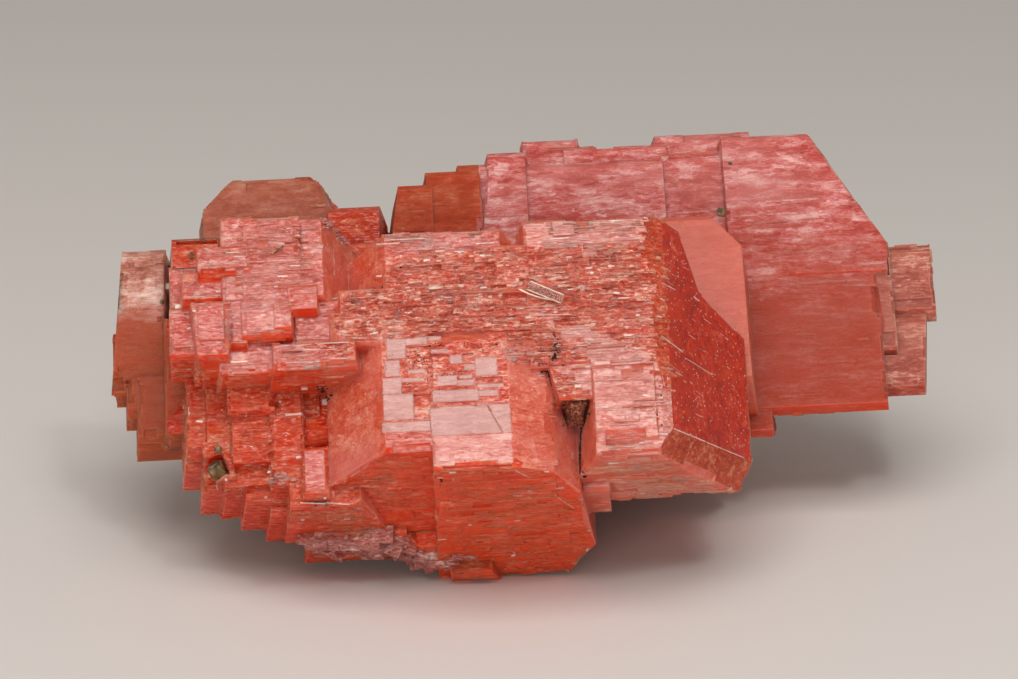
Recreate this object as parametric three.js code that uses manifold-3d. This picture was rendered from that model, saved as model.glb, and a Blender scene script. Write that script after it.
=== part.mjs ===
// A hand-sized cluster of serandite crystals grown side by side, in millimetres, Z up.
//
// Every crystal is a bar with a nearly square section. The bars lie almost parallel, with their long
// axis (b) across the specimen, and they lean back, so that their broad faces look up and forward.
// They are laid out in the crystals' own axes:
//   x  along the bars, to the right
//   y  into the specimen, square to the broad faces
//   z  up the broad faces
import * as THREE from 'three';
import { mergeVertices } from 'three/addons/utils/BufferGeometryUtils.js';
import Module from 'manifold-3d';

const wasm = await Module();
wasm.setup();

// Driving dimensions.
const LEAN = 42; // degrees that the broad faces lean back from upright
const RISE = 3; // degrees that the bars climb to the right
const RESTING_DROP = 25.6; // how far the resting plane lies below the origin of the crystals' axes
const BEVEL = 0.35; // width of the small faces along a crystal's edges
const CLEAVE = 0.7; // how fast the cleaved ends of the large crystals run out with depth
const POCKET_GAP = 0.3; // clearance round a grain that sits in the serandite
const REACH = 200; // size of a block that cuts away everything on one side of a plane

// Colours and finishes.
const SERANDITE = { color: 0xd9705f, roughness: 0.35, metalness: 0 };
const CLEAR_SERANDITE = { color: 0xf0c4b0, roughness: 0.1, metalness: 0 };
const OLIVE_GRAIN = { color: 0x6f6a3c, roughness: 0.6, metalness: 0 };
const DARK_FILL = { color: 0x3c1a10, roughness: 0.8, metalness: 0 };

const degrees = THREE.MathUtils.degToRad;

// --- Solids ---------------------------------------------------------------------------------

function solidOf(geometry) {
  const bare = geometry.clone();
  bare.deleteAttribute('normal');
  bare.deleteAttribute('uv');
  const merged = mergeVertices(bare, 1e-4);
  return new wasm.Manifold(new wasm.Mesh({
    numProp: 3,
    vertProperties: new Float32Array(merged.attributes.position.array),
    triVerts: new Uint32Array(merged.index.array),
  }));
}

function geometryOf(solid) {
  const { vertProperties, triVerts } = solid.getMesh();
  const geometry = new THREE.BufferGeometry();
  geometry.setAttribute('position', new THREE.BufferAttribute(vertProperties, 3));
  geometry.setIndex(new THREE.BufferAttribute(triVerts, 1));
  const faceted = geometry.toNonIndexed();
  faceted.computeVertexNormals();
  return faceted;
}

// The corners of a crystal's section in (y, z), each corner cut by the width of its small face.
function sectionOf({ y, z, roof = 0, floor = 0, bevel = BEVEL }) {
  const depth = y[1] - y[0];
  const corners = [
    new THREE.Vector2(y[0], z[0]),
    new THREE.Vector2(y[1], z[0] + floor * depth),
    new THREE.Vector2(y[1], z[1] + roof * depth),
    new THREE.Vector2(y[0], z[1]),
  ];
  const points = corners.flatMap((corner, i) => {
    const before = corners[(i + 3) % 4];
    const after = corners[(i + 1) % 4];
    return [before, after].map((other) =>
      other.clone().sub(corner).setLength(bevel).add(corner));
  });
  return new THREE.Shape(points);
}

// One crystal. x, y and z are its [low, high] limits at the broad face; ends says how fast the
// left and right ends run outwards with depth, and skew how fast they run outwards with height;
// roof and floor are the slopes of its top and bottom faces; turn is a small misfit in degrees.
function crystalSolid(crystal) {
  const { x, y, z, ends = [0.12, 0.12], skew = [0, 0], turn = [0, 0, 0], cuts = [] } = crystal;
  const bar = new THREE.ExtrudeGeometry(sectionOf(crystal), { depth: 1, bevelEnabled: false });
  bar.applyMatrix4(new THREE.Matrix4().makeBasis(
    new THREE.Vector3(0, 1, 0), new THREE.Vector3(0, 0, 1), new THREE.Vector3(1, 0, 0)));
  const middle = (z[0] + z[1]) / 2;
  const points = bar.attributes.position;
  for (let i = 0; i < points.count; i += 1) {
    const side = points.getX(i) > 0.5 ? 1 : 0;
    const outward = side === 1 ? 1 : -1;
    const run = ends[side] * (points.getY(i) - y[0]) + skew[side] * (points.getZ(i) - middle);
    points.setX(i, x[side] + outward * run);
  }
  const centre = new THREE.Vector3((x[0] + x[1]) / 2, y[0], middle);
  const rotation = new THREE.Euler(...turn.map(degrees));
  bar.translate(-centre.x, -centre.y, -centre.z);
  bar.applyMatrix4(new THREE.Matrix4().makeRotationFromEuler(rotation));
  bar.translate(centre.x, centre.y, centre.z);
  return cuts.reduce(facetted, solidOf(bar));
}

// Cuts a flat face: everything beyond the point `at`, on the side that `facing` looks to, goes.
function facetted(solid, { at, facing }) {
  const outward = new THREE.Vector3(...facing).normalize();
  const block = new THREE.BoxGeometry(REACH, REACH, REACH);
  block.translate(0, 0, REACH / 2);
  block.applyQuaternion(new THREE.Quaternion().setFromUnitVectors(new THREE.Vector3(0, 0, 1), outward));
  block.translate(...at);
  return solid.subtract(solidOf(block));
}

// --- The crystals, group by group ------------------------------------------------------------

// The big crystal on the right. Its right end is one cleaved face, narrow faces soften the edges
// between that end and the broad and bottom faces, and its top falls away behind the crest, first
// steeply and then more gently.
const END_EDGE = { at: [13.2, 0, 0], facing: [0.47, -0.88, 0.01] };
const rightCrystal = [
  {
    x: [1.9, 14],
    y: [0, 9],
    z: [3, 11.7],
    ends: [0.3, CLEAVE],
    roof: -0.12,
    cuts: [END_EDGE, { at: [17, 4.5, 8.8], facing: [0, 0.91, 0.41] }],
  },
  {
    x: [1.9, 14],
    y: [0, 12],
    z: [-2.8, 8],
    ends: [0.3, CLEAVE],
    cuts: [END_EDGE, { at: [18, 6, 6.1], facing: [0, 0.365, 0.93] }],
  },
  {
    x: [7.3, 14],
    y: [0, 11.8],
    z: [-11.7, 4],
    ends: [0.28, CLEAVE],
    cuts: [END_EDGE, { at: [14.1, 0.7, -10], facing: [0.77, -0.52, -0.36] }],
  },
  { x: [7.4, 12.9], y: [-0.3, 6], z: [-10.6, -2.9], ends: [0.28, 0.2], bevel: 0.5 },
  { x: [3.5, 8], y: [0.2, 8], z: [-6, 0.4], ends: [0.1, 0.2], skew: [0.25, 0], bevel: 0.2 },
  { x: [6.8, 11.8], y: [3, 12.6], z: [-11.6, -4], ends: [0.2, 0.3] },
  { x: [6.2, 8.6], y: [7, 13.6], z: [-12.4, -6], ends: [0.1, 0.05] },
];

// The band across the middle: broad faces broken into low steps, with a notch in its crest.
const band = [
  { x: [-10.9, -6.2], y: [0.2, 9], z: [2, 11.3], ends: [0.75, 0.3], roof: -0.2 },
  { x: [-6.5, -0.4], y: [0, 9], z: [2, 11.2], ends: [0.2, 0.5], roof: -0.2 },
  { x: [-0.9, 2.6], y: [2.3, 9], z: [2, 11.3], roof: -0.2 },
  { x: [-1.2, 2.1], y: [-0.4, 5], z: [4.6, 9.3] },
  { x: [-1, 2.4], y: [0.5, 6], z: [2, 5] },
  { x: [-15.2, -10.4], y: [0.3, 9], z: [2, 5.9], ends: [0.3, 0.2] },
  { x: [-19.4, -9], y: [0.9, 10], z: [0.6, 5.2], ends: [0.1, 0.2] },
  { x: [-16, 8], y: [0.1, 10], z: [0.2, 3.6], ends: [0.4, 0.2] },
  { x: [-0.6, 5.6], y: [0.1, 8], z: [-2.4, 1.5], ends: [0.2, 0.2], turn: [0, 11, 0] },
  { x: [-0.4, 2.6], y: [-0.3, 4], z: [-2, -0.7], turn: [0, 8, 0] },
];

// The block that stands proud below the band, wider towards its root on both sides. Its right side
// falls away to the cleft in two faces, the first of them nearly level with the broad face.
const shield = [
  {
    x: [-11.6, -7.1],
    y: [0, 15],
    z: [-10.2, 0.9],
    ends: [0.9, 0],
    floor: -0.18,
    cuts: [{ at: [-16.9, 8, 0], facing: [-1, 0, 0] }],
  },
  {
    x: [-7.4, 5],
    y: [-0.2, 21],
    z: [-12.3, 0.9],
    ends: [0, 0.15],
    floor: -0.155,
    cuts: [
      { at: [-0.3, -0.2, 0], facing: [0.375, -0.927, 0] },
      { at: [3.4, 1.3, 0], facing: [0.86, -0.51, 0] },
      { at: [7.5, 15, -13], facing: [1, 0.1, 0] },
      { at: [5.6, 20, -15], facing: [0.6, 0.2, -0.5] },
    ],
  },
];

// The stepped crystals at the upper left.
const upperLeft = [
  { x: [-25.9, -23.2], y: [0.3, 8], z: [4.6, 13.8], ends: [0.1, 0.2], roof: -0.2 },
  { x: [-24, -18.8], y: [0, 8], z: [4.6, 13.5], ends: [0.1, 0.3], roof: -0.2 },
  { x: [-19.6, -16.7], y: [0.1, 8], z: [5, 13.2], ends: [0.1, 0.45], roof: -0.1 },
  { x: [-28.1, -23.4], y: [-0.2, 7], z: [7.7, 10.6], ends: [0.1, 0.2] },
  { x: [-29.6, -24.6], y: [0.8, 8], z: [5.5, 8.6], ends: [0.15, 0.2] },
  { x: [-31, -27], y: [3.4, 10], z: [5, 10.3], ends: [0.05, 0.2] },
  { x: [-31, -28.2], y: [2.6, 9], z: [0.8, 5.8], ends: [0.05, 0.2] },
  { x: [-28.5, -25.4], y: [-0.2, 7], z: [-0.5, 5.2], skew: [0.1, 0.05] },
  { x: [-25.8, -23.8], y: [0.3, 7], z: [0.7, 5.6] },
  { x: [-24.2, -19.7], y: [-0.1, 7], z: [1.3, 5.2] },
  { x: [-21.2, -19.7], y: [-0.5, 5], z: [1.8, 4.6] },
  { x: [-19.9, -17.3], y: [-0.4, 6], z: [3.5, 6.3] },
  { x: [-26.4, -19.4], y: [1.2, 9], z: [-1.6, 2], floor: 0.1 },
  { x: [-21.4, -14], y: [-0.4, 7], z: [-1.9, 0.8], bevel: 0.5 },
];

// The small crystals packed under the overhang at the lower left.
const lowerLeft = [
  { x: [-19.6, -14.6], y: [8.4, 17], z: [-9.4, 1] },
  { x: [-28.4, -25.6], y: [7.4, 17.4], z: [-9.4, 1.6] },
  { x: [-26, -21.7], y: [5.2, 15], z: [-3.9, 0.7] },
  { x: [-22.2, -19.2], y: [5.8, 15], z: [-10.8, 0.6] },
  { x: [-25.7, -21.6], y: [6.3, 15], z: [-8.2, -3.4] },
  { x: [-19.9, -17.7], y: [6.8, 12], z: [-3.8, -1] },
  { x: [-19.3, -17], y: [4.7, 12], z: [-12.5, -7.6] },
  { x: [-20.6, -14.2], y: [6, 16.5], z: [-12.9, -9], ends: [0.1, 0.3] },
  { x: [-26.6, -20.4], y: [8, 17.5], z: [-9.8, -7] },
  { x: [-24.8, -19.4], y: [9.4, 18], z: [-10.9, -8] },
  { x: [-22.6, -18.6], y: [11, 19.2], z: [-11.7, -8] },
  { x: [-30.4, -27.8], y: [11, 17.5], z: [-6.9, 0] },
  { x: [-19.2, -10.2], y: [13.5, 20.7], z: [-13.5, -8] },
  {
    x: [-10.4, -6.4],
    y: [15, 21],
    z: [-14.2, -9],
    cuts: [{ at: [-9, 20, -14.2], facing: [-0.6, 0, -0.8] }],
  },
  { x: [-6.3, -2.4], y: [17.5, 21.8], z: [-16.4, -12], ends: [0, 0.3], floor: 0.1 },
];

// The crystals that stand apart at the far left.
const leftCrystals = [
  { x: [-37, -32.6], y: [16.5, 21.5], z: [4.4, 18.2], skew: [-0.08, 0.02], bevel: 1.1 },
  { x: [-37.6, -31.8], y: [17.6, 22.5], z: [3.6, 10], bevel: 0.9, ends: [0, 0.1] },
  { x: [-36.2, -31.4], y: [17.2, 22], z: [1, 9], bevel: 0.8 },
  { x: [-35.2, -30.8], y: [16.8, 22.2], z: [-2.2, 6], bevel: 1 },
  { x: [-31.4, -27], y: [13.2, 20], z: [3, 17.5], bevel: 0.5 },
  { x: [-32.2, -28], y: [12.4, 18], z: [-2.6, 9], bevel: 0.5 },
];

// The blunt crystals behind, from left to right.
const rearLeft = [
  {
    x: [-28.9, -16.6],
    y: [22.5, 31],
    z: [10, 28],
    bevel: 1.2,
    cuts: [
      { at: [-28.4, 22.5, 25], facing: [-0.72, -0.2, 0.66] },
      { at: [-17.8, 22.5, 27.2], facing: [0.66, -0.2, 0.7] },
      { at: [-17, 22.5, 25.2], facing: [0.95, -0.2, 0.25] },
    ],
  },
];

const rearMiddle = [
  { x: [-16.6, -11.6], y: [20.5, 30.4], z: [8, 23.4], bevel: 0.9 },
  { x: [-10.8, -6.3], y: [19.6, 27], z: [8, 25], bevel: 0.8, skew: [-0.15, 0] },
  { x: [-6.8, -1.6], y: [20, 29], z: [8, 26.5], bevel: 0.8 },
];

const rearRight = [
  { x: [-1.6, 3], y: [21, 31.4], z: [8, 28.8], skew: [-0.1, 0], bevel: 1 },
  { x: [-3.6, 0.4], y: [21.4, 28], z: [20, 27.8], bevel: 0.9 },
  { x: [3, 8.4], y: [24, 29], z: [20, 31.3], bevel: 0.8 },
  { x: [1.8, 16.6], y: [22, 30], z: [6, 27.6], bevel: 0.7 },
  { x: [7, 17.2], y: [23.4, 31.6], z: [18, 29.9], bevel: 0.6, roof: -0.1 },
  { x: [16.6, 23], y: [23, 30], z: [6, 28.6], bevel: 0.6 },
  { x: [16.2, 25.6], y: [24.4, 29.4], z: [18, 31.2], bevel: 0.5 },
  {
    x: [22.6, 38],
    y: [22, 30.6],
    z: [13.8, 29.6],
    bevel: 0.6,
    cuts: [
      { at: [31.4, 22, 29], facing: [0.87, -0.1, 0.49] },
      { at: [30, 30.6, 26], facing: [0.1, 0.62, 0.78] },
    ],
  },
  { x: [22.2, 36.7], y: [22.2, 30], z: [-0.3, 15], bevel: 0.9, floor: 0.4 },
  { x: [22.2, 25.4], y: [22.4, 30], z: [-2.4, 4], bevel: 0.8, floor: 0.4 },
  { x: [35.4, 38.2], y: [22.6, 29], z: [6, 17.8], bevel: 0.8 },
  { x: [37.4, 42.4], y: [23.4, 29], z: [9.6, 18], bevel: 1.4, floor: 0.3 },
  { x: [36, 41], y: [23.6, 29], z: [1.6, 11], bevel: 1.4, floor: 0.4, skew: [0, 0.1] },
  {
    x: [15.6, 23],
    y: [13.4, 23],
    z: [0, 17.4],
    bevel: 0.6,
    cuts: [{ at: [22.4, 13.4, 14.6], facing: [0.75, -0.1, 0.65] }],
  },
];

// The back, where blunt crystals of the same habit stand on one another.
const back = [
  {
    x: [-26.8, -17.4],
    y: [28, 34.6],
    z: [4, 21.6],
    turn: [2, 3, 0],
    bevel: 0.9,
    cuts: [{ at: [-25, 31, 20], facing: [-0.7, 0.3, 0.65] }],
  },
  { x: [-18.6, -9.8], y: [27, 36.8], z: [2, 17.8], turn: [-3, -2, 1], bevel: 0.7, ends: [0.05, 0.3] },
  { x: [-12.4, -4.2], y: [26.4, 33.4], z: [6, 22.8], turn: [2, 4, -1], bevel: 0.6, roof: -0.2 },
  {
    x: [-5, 6],
    y: [27.6, 37.4],
    z: [1, 18.4],
    turn: [1, -3, 2],
    bevel: 0.8,
    cuts: [{ at: [4.6, 33, 17], facing: [0.6, 0.35, 0.7] }],
  },
  { x: [5.4, 13.2], y: [27, 34.2], z: [8, 24.6], turn: [-2, 2, 0], bevel: 0.7, roof: -0.3 },
  {
    x: [12, 21.6],
    y: [26.6, 35.4],
    z: [2, 20],
    turn: [2, -2, -1],
    bevel: 0.9,
    cuts: [{ at: [19.8, 32, 18.2], facing: [0.7, 0.2, 0.68] }],
  },
  { x: [20.4, 29.4], y: [27, 33.4], z: [6, 24.2], turn: [-2, 3, 1], bevel: 0.7, roof: -0.2 },
  { x: [27.6, 33.6], y: [27.4, 32.6], z: [5.6, 17], turn: [1, -3, 0], bevel: 0.9, floor: 0.3 },
  {
    x: [-14.6, -7],
    y: [33, 39.4],
    z: [1, 10.4],
    turn: [3, 6, 0],
    bevel: 0.8,
    cuts: [{ at: [-13, 36, 9.4], facing: [-0.6, 0.4, 0.7] }],
  },
  { x: [6.4, 13.8], y: [32, 40], z: [0, 12.6], turn: [0, -3, 0], bevel: 0.8, roof: -0.2 },
  { x: [-25.8, -18.6], y: [31, 39.2], z: [0, 10.4], turn: [0, 2, 0], bevel: 0.8 },
  { x: [-24.6, -19], y: [12, 19], z: [8, 15.6], turn: [0, 5, 0], bevel: 0.5 },
  { x: [-16.4, -9.6], y: [13, 20.4], z: [9, 16.2], turn: [1, -4, 0], bevel: 0.5, roof: -0.2 },
  { x: [-7.8, 0.4], y: [12, 19], z: [8, 15.4], turn: [-2, 3, 0], bevel: 0.5 },
  { x: [1.4, 8.6], y: [13, 21], z: [10, 16], turn: [2, -3, 0], bevel: 0.5, roof: -0.3 },
  { x: [-2.4, 4.9], y: [6, 12.6], z: [2, 9.6], bevel: 0.5 },
  { x: [4.3, 11.6], y: [6, 13.4], z: [0, 8.8], bevel: 0.4, ends: [0.1, 0.25] },
];

// The solid heart of the specimen, which the rows of bars stand on.
const bulkCore = [
  { x: [-22, -14], y: [5, 10], z: [-1.6, 4] },
  { x: [-26, 12], y: [9, 24], z: [-6, 4] },
  { x: [-24, 20], y: [20, 36], z: [0, 12] },
  { x: [-4, 33], y: [25, 31], z: [4, 20] },
];

// The bulk behind and below, where the crystals run together: rows of bars lying end to end. Each
// row says where its bars begin and end along x, and how unevenly they stand.
const bulkRows = [
  { at: [-29.4, -24.2, -19.6, -13.2, -7, -1, 5.6, 12], y: [7.8, 16], z: [-6.6, 8], uneven: 1 },
  { at: [-27.8, -21, -15.6, -10.2, -3.4, 3, 9.2, 15.4], y: [14, 22], z: [-5, 12.4], uneven: 1.6 },
  { at: [-27, -20.2, -14, -6.4, 1.2, 8, 14.4, 20.6], y: [19, 29], z: [-4, 15], uneven: 2 },
  { at: [-28, -19.4, -12, -5.2, 4, 12.4, 20, 27.6, 33.8], y: [25.4, 32], z: [5, 18.6], uneven: 2 },
  { at: [-25.4, -17, -9.6, -1, 7.4, 15, 21], y: [30, 37.6], z: [0.6, 10.4], uneven: 2.4 },
  { at: [-23, -15.8, -8, -0.6, 7], y: [17, 26.6], z: [-8.4, 0], uneven: 0.8 },
];

// A repeatable spread of values from -0.5 to 0.5, so that neighbouring bars differ.
function spread(index) {
  return ((index * 0.618 + 0.37) % 1) - 0.5;
}

function barsOf({ at, y, z, uneven }, row) {
  return at.slice(1).map((end, i) => {
    const step = uneven * spread(i + 5 * row);
    const drop = uneven * spread(3 * i + 2 * row);
    return {
      x: [at[i] - 0.6, end + 0.6],
      y: [y[0] - step, y[1] + drop],
      z: [z[0] - drop, z[1] + 1.5 * step],
      ends: [0.05, 0.05],
      turn: [drop, step, 0],
      bevel: 0.5,
    };
  });
}

const clusterGroups = [
  rightCrystal, band, shield, upperLeft, lowerLeft,
  leftCrystals, rearLeft, rearMiddle, rearRight, back, bulkCore, ...bulkRows.map(barsOf),
];

// --- Small things that sit in or on the serandite ----------------------------------------------

const grains = [
  {
    name: 'glassy_splinter',
    finish: CLEAR_SERANDITE,
    shape: { x: [1.9, 5.2], y: [-0.8, -0.3], z: [3.8, 4.7], turn: [0, 27, 0], bevel: 0.1 },
  },
  {
    name: 'olive_grain',
    finish: OLIVE_GRAIN,
    shape: { x: [-28, -26.8], y: [6.9, 9], z: [-9, -7.4], turn: [0, -20, 0], bevel: 0.3 },
  },
  {
    name: 'cleft_fill',
    finish: DARK_FILL,
    shape: { x: [5.4, 6.4], y: [1, 4.2], z: [-7.2, -5.9], skew: [0.5, 0.5], bevel: 0.2 },
  },
];

function pocketOf({ x, y, z, ...rest }) {
  const wider = ([low, high]) => [low - POCKET_GAP, high + POCKET_GAP];
  return crystalSolid({ ...rest, x: wider(x), y: wider(y), z: wider(z) });
}

function clusterSolid(down) {
  const crystals = clusterGroups.flat().map(crystalSolid);
  const whole = crystals.reduce((joined, crystal) => joined.add(crystal));
  const pocketed = grains.reduce((left, { shape }) => left.subtract(pocketOf(shape)), whole);
  const lowest = down.clone().multiplyScalar(RESTING_DROP);
  return facetted(pocketed, { at: lowest.toArray(), facing: down.toArray() });
}

// --- Assembly ---------------------------------------------------------------------------------

function namedMesh(name, solid, finish) {
  const mesh = new THREE.Mesh(geometryOf(solid), new THREE.MeshStandardMaterial(finish));
  mesh.name = name;
  return mesh;
}

const crystalAxes = new THREE.Group();
crystalAxes.rotation.set(degrees(-LEAN), degrees(-RISE), 0);
const down = new THREE.Vector3(0, 0, -1).applyQuaternion(crystalAxes.quaternion.clone().invert());
crystalAxes.add(namedMesh('serandite_cluster', clusterSolid(down), SERANDITE));
grains.forEach(({ name, shape, finish }) => {
  crystalAxes.add(namedMesh(name, crystalSolid(shape), finish));
});

// The specimen stands on its lowest faces, with the middle of its footprint at the origin.
const limits = new THREE.Box3().setFromObject(crystalAxes, true);
const middle = limits.getCenter(new THREE.Vector3());
crystalAxes.position.set(-middle.x, -middle.y, -limits.min.z);

const specimen = new THREE.Group();
specimen.add(crystalAxes);

export default specimen;
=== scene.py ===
"""Looks of a serandite specimen: a hand-sized cluster of salmon-pink crystals on a plain floor.

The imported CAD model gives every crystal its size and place. This add-on grows the fine relief on
them (growth steps, striations, cleavage tiles and etch pits), adds the small minerals that sit on
the serandite, gives each thing its own material, and sets up the floor, the lights and the camera.
"""

import itertools
import math
import random
from collections import namedtuple

import bmesh
import bpy
from mathutils import Euler, Matrix, Vector
from mathutils.bvhtree import BVHTree


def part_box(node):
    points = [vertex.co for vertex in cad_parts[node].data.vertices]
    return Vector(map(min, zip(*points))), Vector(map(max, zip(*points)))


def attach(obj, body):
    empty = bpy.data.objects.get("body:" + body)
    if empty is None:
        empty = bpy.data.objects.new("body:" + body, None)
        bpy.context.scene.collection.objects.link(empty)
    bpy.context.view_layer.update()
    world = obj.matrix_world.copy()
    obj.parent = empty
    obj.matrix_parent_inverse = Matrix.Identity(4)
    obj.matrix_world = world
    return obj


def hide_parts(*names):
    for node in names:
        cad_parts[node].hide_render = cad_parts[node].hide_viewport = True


bl_info = {
    "name": "Serandite Specimen",
    "version": (1, 0, 0),
    "blender": (4, 5, 0),
    "location": "3D View > Sidebar > Serandite",
    "description": "Grows the fine relief on a serandite specimen and lights it",
    "category": "Add Mesh",
}

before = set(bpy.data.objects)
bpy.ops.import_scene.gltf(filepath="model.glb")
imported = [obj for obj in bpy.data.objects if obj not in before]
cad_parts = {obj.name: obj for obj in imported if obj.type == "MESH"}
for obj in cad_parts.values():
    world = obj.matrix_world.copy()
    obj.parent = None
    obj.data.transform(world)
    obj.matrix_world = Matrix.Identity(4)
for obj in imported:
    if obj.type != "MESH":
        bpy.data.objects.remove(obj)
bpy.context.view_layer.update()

# --- The crystals' own axes -------------------------------------------------------------------
# x runs along the bars, y into the specimen, square to the broad faces, and z up the broad faces.
# Everything on the crystals is laid out in those axes, in millimetres.

MM = 0.001
LEAN = math.radians(42)  # how far the broad faces lean back from upright
RISE = math.radians(3)  # how far the bars climb to the right
SPLINTER_CENTRE = Vector((3.55, -0.55, 4.25))  # where the glassy splinter lies, in those axes

TURN = Matrix.Rotation(-LEAN, 4, "X") @ Matrix.Rotation(-RISE, 4, "Y")
splinter_low, splinter_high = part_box("glassy_splinter")
AXES_ORIGIN = (splinter_low + splinter_high) / 2 - TURN @ SPLINTER_CENTRE * MM
AXES = Matrix.Translation(AXES_ORIGIN) @ TURN @ Matrix.Scale(MM, 4)

ALONG = Vector((1, 0, 0))
INTO = Vector((0, 1, 0))
UP_FACE = Vector((0, 0, 1))


# --- Settings that a user would change --------------------------------------------------------


class SeranditeRelief(bpy.types.PropertyGroup):
    """How the fine relief is drawn"""

    seed: bpy.props.IntProperty(
        name="Seed",
        description="Start of every random draw, so that the relief is the same each time",
        default=11,
    )
    amount: bpy.props.FloatProperty(
        name="Amount",
        description="Share of the growth steps and pits that are made",
        default=1.0,
        min=0.0,
        max=1.0,
        subtype="FACTOR",
    )


class SeranditeStage(bpy.types.PropertyGroup):
    """The camera and the lights"""

    distance: bpy.props.FloatProperty(
        name="Camera distance",
        description="From the camera to the front crystals",
        default=0.347,
        unit="LENGTH",
    )
    elevation: bpy.props.FloatProperty(
        name="Camera elevation",
        description="Height of the camera above the horizon",
        default=math.radians(20),
        subtype="ANGLE",
    )
    lens: bpy.props.FloatProperty(
        name="Lens",
        description="Focal length of the camera",
        default=135.0,
        unit="CAMERA",
    )
    key: bpy.props.FloatProperty(
        name="Softbox",
        description="Power of the large softbox above the front",
        default=1.25,
        unit="POWER",
    )
    ambient: bpy.props.FloatProperty(
        name="Ambient",
        description="Strength of the light from all round",
        default=0.3,
    )


# --- Materials --------------------------------------------------------------------------------


def linear(code, alpha=1.0):
    """An sRGB hex colour as linear red, green, blue and alpha."""
    channels = [int(code[i : i + 2], 16) / 255 for i in (1, 3, 5)]
    return (*[c / 12.92 if c <= 0.04045 else ((c + 0.055) / 1.055) ** 2.4 for c in channels], alpha)


def add_node(material, kind, values=None, links=None, **settings):
    """Adds a node with its settings, its socket values and its links from (node, output)."""
    tree = material.node_tree
    made = tree.nodes.new("ShaderNode" + kind)
    for name, value in settings.items():
        setattr(made, name, value)
    for socket, value in (values or {}).items():
        made.inputs[socket].default_value = value
    for socket, (source, output) in (links or {}).items():
        tree.links.new(source.outputs[output], made.inputs[socket])
    return made


def set_ramp(ramp, stops):
    """Gives a colour ramp its (position, hex colour) stops."""
    elements = ramp.color_ramp.elements
    while len(elements) < len(stops):
        elements.new(0.5)
    for element, (position, code) in zip(elements, stops):
        element.position = position
        element.color = linear(code)
    return ramp


def new_material(name):
    material = bpy.data.materials.new(name)
    material.use_nodes = True
    material.node_tree.nodes.clear()
    return material


def finish_material(material, values, links):
    """Closes a material with its shader and output. Uniform values sit on the shader itself."""
    shader = add_node(material, "BsdfPrincipled", values, links, subsurface_method="RANDOM_WALK")
    add_node(material, "OutputMaterial", links={"Surface": (shader, "BSDF")})
    return material


def crystal_coordinates(material):
    """Object coordinates turned into the crystals' axes, in millimetres."""
    place = add_node(material, "TexCoord")
    values = {"Location": AXES_ORIGIN, "Rotation": AXES.to_euler("XYZ"), "Scale": (MM, MM, MM)}
    links = {"Vector": (place, "Object")}
    return (add_node(material, "Mapping", values, links, vector_type="TEXTURE"), "Vector")


def maths(material, operation, first, second, clamp=False):
    """One Math node. Each operand is a number or a (node, output)."""
    made = add_node(material, "Math", operation=operation, use_clamp=clamp)
    for socket, operand in zip(made.inputs, (first, second)):
        if isinstance(operand, tuple):
            material.node_tree.links.new(operand[0].outputs[operand[1]], socket)
        else:
            socket.default_value = operand
    return (made, "Value")


def total(material, *shares):
    """The sum of (weight, (node, output)) shares."""
    result = 0.0
    for weight, source in shares:
        result = maths(material, "ADD", result, maths(material, "MULTIPLY", source, weight))
    return result


def vectors(material, operation, first, second):
    """One Vector Math node. The second operand is a vector or a (node, output)."""
    if isinstance(second[0], bpy.types.Node):
        values, links = {}, {0: first, 1: second}
    else:
        values, links = {1: second}, {0: first}
    made = add_node(material, "VectorMath", values, links, operation=operation)
    return (made, "Value" if operation == "DOT_PRODUCT" else "Vector")


def streaks(material, place, length, width, detail, roughness=0.6):
    """Noise drawn out along the bars: `length` and `width` are the size of a streak in mm."""
    stretched = vectors(material, "MULTIPLY", place, (1 / length, 1 / width, 1 / width))
    values = {"Scale": 1.0, "Detail": detail, "Roughness": roughness}
    return (add_node(material, "TexNoise", values, {"Vector": stretched}), "Fac")


HALF = (0.5, 0.5, 0.5)  # the middle of a pattern's colours


def tiny_tiles(material, place, size, tilt):
    """Blocky cleavage tiles of the given size in mm, each with a tint and a slight tilt of its
    own. Returns the tint and the height in mm."""
    scaled = vectors(material, "DIVIDE", place, size)
    values = {"Scale": 1.0, "Randomness": 0.9}
    links = {"Vector": scaled}
    cells = add_node(material, "TexVoronoi", values, links, distance="CHEBYCHEV")
    inside = vectors(material, "SUBTRACT", scaled, (cells, "Position"))
    lean = vectors(material, "SUBTRACT", (cells, "Color"), HALF)
    lean = vectors(material, "MULTIPLY", lean, tuple(2 * tilt * edge for edge in size))
    return (cells, "Color"), vectors(material, "DOT_PRODUCT", inside, lean)


def blend(material, share, colour, code):
    """The colour with a share of another, given in sRGB hex, mixed in."""
    links = {"Factor": share, "A": colour}
    made = add_node(material, "Mix", {"B": linear(code)}, links, data_type="RGBA")
    return (made, "Result")


def above(material, source, start, slope):
    """How far a value is above a start, times a slope, and kept between 0 and 1."""
    over = maths(material, "SUBTRACT", source, start)
    return maths(material, "MULTIPLY", over, slope, clamp=True)


def facing(material, direction):
    """How squarely a face looks in a direction given in the crystals' axes, from -1 to 1."""
    normal = add_node(material, "NewGeometry")
    return vectors(material, "DOT_PRODUCT", (normal, "Normal"), TURN.to_3x3() @ direction)


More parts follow.
